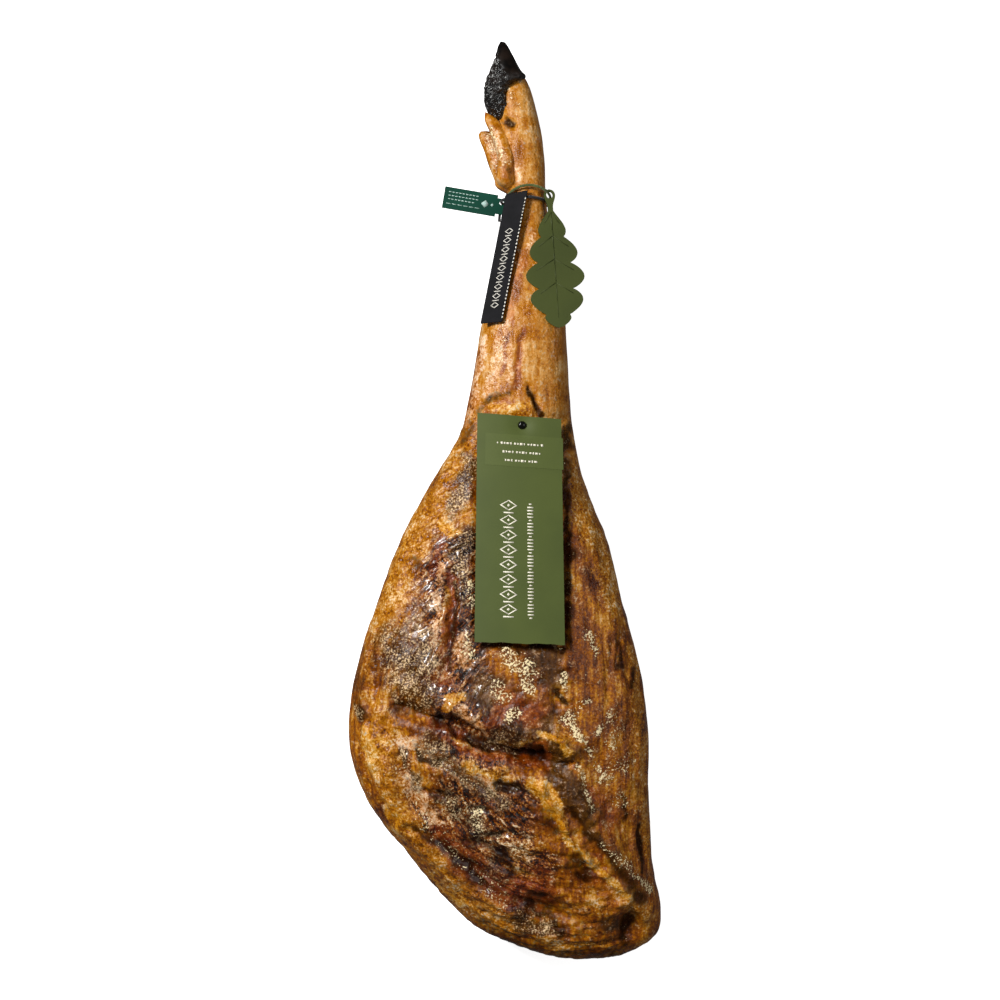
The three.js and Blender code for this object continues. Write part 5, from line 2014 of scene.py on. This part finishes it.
@dataclass
class Card:
    """The pinned card: a bowed board with a dimple at its pin, a slip across its top and printed marks."""

    place: Place
    width: float = 76.0
    height: float = 203.0
    top_left: Spot = (-24.4, 491.9, 99.4)
    top_right: Spot = (49.4, 486.2, 98.4)
    bottom_left: Spot = (-26.7, 291.4, 124.0)
    bottom_right: Spot = (52.0, 288.7, 122.5)
    thickness: float = 1.4
    slip_thickness: float = 0.3
    slip_lift: float = 0.25  # of the slip's face over the board's
    ink: float = 0.14
    slip_ink: float = 0.12
    bow: float = 2.0
    dimple: float = 2.2
    dimple_radius: float = 9.0

    def surface(self, across: np.ndarray, down: np.ndarray) -> np.ndarray:
        """The board's middle surface.

        It is the plane between the four corners, raised by the bow times 1 - (2a - 1)^2 across it and lowered
        at the pin by a bell curve.

        Args:
            across: shares of the width, from the left.
            down: shares of the height, from the top.

        Returns:
            One row for each place.
        """
        a, d = across[:, None], down[:, None]
        top = (1 - a) * np.array(self.top_left) + a * np.array(self.top_right)
        bottom = (1 - a) * np.array(self.bottom_left) + a * np.array(self.bottom_right)
        made = (1 - d) * top + d * bottom
        reach = np.hypot(*(made[:, :2] - np.array(PIN_AT)).T) / self.dimple_radius
        made[:, 2] += self.bow * (1 - (2 * across - 1) ** 2) - self.dimple * np.exp(-(reach**2))
        return made

    def seat(self, flat: np.ndarray, lift: float = 0.0) -> tuple[np.ndarray, np.ndarray]:
        """The upper face.

        Args:
            flat: millimetres right of and below the top left corner.
            lift: how far above the board's own face.

        Returns:
            Its points and their outward directions.
        """
        here, out = surface_frame(self.surface, flat[:, 0] / self.width, flat[:, 1] / self.height)
        return here + out * self.thickness / 2 + lift * out, out

    def plate(
        self, name: str, box: Sequence[float], lift: float, thickness: float, steps: tuple[int, int],
        wave: float = 0.0,
    ) -> bpy.types.Object:
        """A sheet that follows the board.

        Args:
            name: the piece's name.
            box: its left, top, right and bottom, in millimetres from the board's top left corner.
            lift: how far its upper face lies above the board's.
            thickness: its own.
            steps: how many steps it has across and down.
            wave: how far its lower edge wavers.

        Returns:
            The piece.
        """
        left, top, right, bottom = box
        columns, rows = np.linspace(left, right, steps[0] + 1), np.linspace(bottom, top, steps[1] + 1)
        u, v = np.meshgrid(columns, rows, indexing="ij")
        low = smooth(v, bottom - 12, bottom)
        ragged = wave * (np.sin(u / 5.2) + 0.6 * np.sin(u / 2.3 + 1)) * low
        base, out = self.seat(np.column_stack([u.ravel(), (v + ragged).ravel()]))
        grid = (base + (lift - thickness / 2) * out).reshape(*u.shape, 3)
        piece = closed_piece(name, self.place, *sheet_shell(grid, thickness))
        piece.data.polygons.foreach_set("use_smooth", np.zeros(len(piece.data.polygons), bool))
        return piece

    def build(self) -> dict[str, bpy.types.Object]:
        """Makes the board, the slip and the print.

        Returns:
            The pieces by what they are.
        """
        whole = (0, 0, self.width, self.height)
        slip = (7.5, 17.5, 77.2, 46)
        made = {
            "board": self.plate("olive_card_board", whole, 0.0, self.thickness, (76, 203), 0.35),
            "slip": self.plate("card_slip", slip, self.slip_lift, self.slip_thickness, (40, 18)),
        }
        lines = []
        for row, (left, right) in enumerate(((18, 60), (23, 56.5), (25, 53.5))):
            lines += self.words(left, right, 25.5 + 7.6 * row, 2.1, row)
        column, middle, pitch = [], 28.5, 13.2
        for d in 81 + pitch * np.arange(8):
            column += open_lozenge(middle, d, 15.5, 9.6, 1.5)
            column += [lozenge(middle, d, 2.8, 2.8), bar(middle, d + pitch / 2, 9.0, 1.2)]
        bars = [bar(47.5, 79 + 2.9 * k, 5.2 if k % 5 else 2.6, 1.1) for k in range(36)]
        on_slip = partial(self.seat, lift=self.slip_lift)
        for part, marks, seat, ink in (
            ("lines", lines, on_slip, self.slip_ink),
            ("column", column, self.seat, self.ink),
            ("bars", bars, self.seat, self.ink),
        ):
            shell = prisms(np.array(marks), seat, ink)
            made[part] = closed_piece("card_print_" + part, self.place, *shell)
        return made

    @staticmethod
    def words(left: float, right: float, y: float, height: float, row: int) -> list[np.ndarray]:
        """A row of short bars that stands for a line of small print.

        Args:
            left: where the row starts.
            right: where it ends.
            y: its distance below the top edge.
            height: the bars' height.
            row: varies the bars' lengths from row to row.

        Returns:
            The bars' outlines.
        """
        widths, shares = (1.1, 2.0, 1.4, 2.6), (0.7, 1.0, 0.8)
        made = []
        x, k = left, row
        while x < right:
            width = widths[k % len(widths)]
            made.append(bar(x + width / 2, y, width, height * shares[k % len(shares)]))
            x += width + (0.9 if k % len(widths) else 2.2)
            k += 1
        return made


@dataclass
class Pin:
    """The pin that holds the card: a thin shaft with a domed head."""

    place: Place
    radius: float = 3.6
    dome: float = 2.2
    around: int = 40

    def build(self) -> bpy.types.Object:
        """Makes the pin as a body of revolution: shaft, flat underside and a dome, a quarter ellipse.

        Returns:
            The piece.
        """
        low, high = (p.z / MM - self.place.shift[2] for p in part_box("card_pin"))
        foot = high - self.dome
        quarter = np.linspace(np.pi / 2, 0.06, 14)
        rim = [(0.35, low + 0.3), (1.2, low + 2), (1.2, foot)]
        profile = rim + [(self.radius * math.sin(q), foot + self.dome * math.cos(q)) for q in quarter]
        reach, level = (column[:, None] for column in np.array(profile).T)
        a = np.linspace(0, 2 * np.pi, self.around, endpoint=False)
        across, along = PIN_AT[0] + reach * np.cos(a), PIN_AT[1] + reach * np.sin(a)
        rings = np.dstack([across, along, level + 0 * a])
        return closed_piece("card_pin_head", self.place, *closed_tube(rings))


# The studio


@dataclass
class Studio:
    """A pale floor, soft lights and a camera that looks straight down on the ham."""

    place: Place
    aim: Point = (-4.5, 414.9)
    plane_z: float = 60.0
    distance: float = 2000.0
    view: float = 900.0  # millimetres across the picture in that plane
    sensor: float = 36.0
    air: float = 0.105  # the even light from all round
    glow: float = 0.86  # the floor's own light

    def build(self) -> None:
        """Makes the floor, the lights, the world and the camera."""
        self.floor()
        self.softbox("key_softbox", (-1100, 1150, 1500), 420, 49)
        self.softbox("fill_softbox", (1300, 600, 1500), 1200, 9)
        self.world()
        self.camera()

    def floor(self) -> None:
        """A large pale sheet under the ham, lit from below like a light table."""
        corners = np.array([(-3000, -2600, 0), (3000, -2600, 0), (3000, 3400, 0), (-3000, 3400, 0)], float)
        piece = make_piece("studio_floor", self.place, corners, [(0, 1, 2, 3)])
        s = Shader("pale_floor")
        tooth = s.add("TexNoise", {"Vector": s.coords, "Scale": per_metre(400), "Detail": 2.0})
        tone = s.add("ValToRGB", {0: tooth.outputs[0]}, ((0.3, "#f3f3f2"), (0.7, "#f6f6f5")))
        piece.data.materials.append(s.finish({
            "Base Color": tone.outputs[0],
            "Roughness": 0.9,
            "Specular IOR Level": 0.1,
            "Emission Color": (1.0, 1.0, 1.0, 1.0),
            "Emission Strength": self.glow,
        }))
        piece.visible_diffuse = piece.visible_glossy = False

    def softbox(self, name: str, at: Spot, size: float, power: float) -> None:
        """A square light that faces the ham's middle.

        Args:
            name: the light's name.
            at: its place in the drawing.
            size: its edge.
            power: its power in watts.
        """
        data = bpy.data.lights.new(name, "AREA")
        data.shape = "SQUARE"
        data.size = size * MM
        data.energy = power
        light = new_object(name, data)
        spot, target = self.place.metres(np.array([at, (*self.aim, self.plane_z)], float))
        light.location = spot
        light.rotation_euler = Vector(target - spot).to_track_quat("-Z", "Y").to_euler()

    def world(self) -> None:
        """Even white light from all round."""
        world = bpy.data.worlds.new("studio_air")
        world.use_nodes = True
        plug(world.node_tree, world.node_tree.nodes["Background"], {
            "Color": (1.0, 1.0, 1.0, 1.0),
            "Strength": self.air,
        })
        bpy.context.scene.world = world
        view = bpy.context.scene.view_settings
        view.view_transform = "Standard"
        view.look = "None"

    def camera(self) -> None:
        """The camera looks down, with the hoof at the top of the picture."""
        data = bpy.data.cameras.new("camera")
        data.sensor_fit = "AUTO"
        data.sensor_width = self.sensor
        data.lens = self.sensor * self.distance / self.view
        data.clip_end = 20
        camera = new_object("camera", data)
        camera.location = self.place.metres(np.array([(*self.aim, self.plane_z + self.distance)]))[0]
        bpy.context.scene.camera = camera


def dress(piece: bpy.types.Object, material: bpy.types.Material, slot: str, *nodes: str) -> None:
    """Gives a piece its material and its body, and hides the nodes that it stands for.

    Args:
        piece: the piece.
        material: its finish.
        slot: not used.
        nodes: the CAD nodes that it replaces.
    """
    piece.data.materials.clear()
    piece.data.materials.append(material)
    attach(piece, "root")
    if nodes:
        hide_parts(*nodes)
    LOG.info("%s: %d faces", piece.name, len(piece.data.polygons))


def main() -> None:
    """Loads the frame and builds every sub-assembly in order."""
    logging.basicConfig(level=logging.INFO, format="%(name)s %(message)s")
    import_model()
    low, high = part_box("card_pin")
    middle = (np.array(low) + np.array(high)) / 2 / MM
    place = Place(np.array([middle[0] - PIN_AT[0], middle[1] - PIN_AT[1], 0.0]))
    Studio(place).build()

    dress(Ham(place).build(), CuredMeat().material(), "cured_meat", "ham")
    horn = Horn().material()
    for piece, node in Hooves(place).build():
        dress(piece, horn, "horn", node)
    cords = (
        CottonCord("olive_cotton", "#2f3a18", "#5c6a2c").material(),
        CottonCord("black_cotton", "#0f0f11", "#26262a").material(),
    )
    for (piece, node), material, slot in zip(Loops(place).build(), cords, ("olive_cord", "black_cord")):
        dress(piece, material, slot, node)
    white = PlainCoat("white_thread", "#e6e2d6", "#cfcabd", 0.7).material()
    ribbon = Ribbon(place)
    cloth, stitches, ornament = ribbon.build()
    dress(cloth, WovenRibbon().material(), "black_ribbon", "ribbon")
    dress(stitches, white, "black_ribbon")
    dress(ornament, white, "black_ribbon")
    seal, seal_marks = Seal(place).build()
    dress(seal, PlainCoat("green_polythene", "#003f2f", "#003426", 0.38).material(), "seal_plastic", "seal")
    dress(seal_marks, PlainCoat("seal_ink", "#b4cac2", "#90aea4", 0.6).material(), "seal_plastic")
    leaf, veins = LeafTag(place).build()
    board = PlainCoat("olive_tag_board", "#434b20", "#3e461e", 0.6).material()
    dress(leaf, board, "tag_board", "leaf_tag")
    dress(veins, PlainCoat("olive_tag_crease", "#3f4720", "#3a421d", 0.6).material(), "tag_board")
    card = Card(place).build()
    coat = PlainCoat("olive_card_coat", "#4c5625", "#475123", 0.55).material()
    dress(card["board"], coat, "card_board", "card")
    dress(card["slip"], PlainCoat("olive_slip_paper", "#515b2a", "#4c5627", 0.5).material(), "card_board")
    cream = PlainCoat("cream_ink", "#f0ead8", "#e2dbc6", 0.7).material()
    for part in ("lines", "column", "bars"):
        dress(card[part], cream, "card_board")
    gloss = PlainCoat("black_pin_gloss", "#0c0d09", "#060604", 0.18).material()
    dress(Pin(place).build(), gloss, "pin_plastic", "card_pin")


if __name__ == "__main__":
    main()
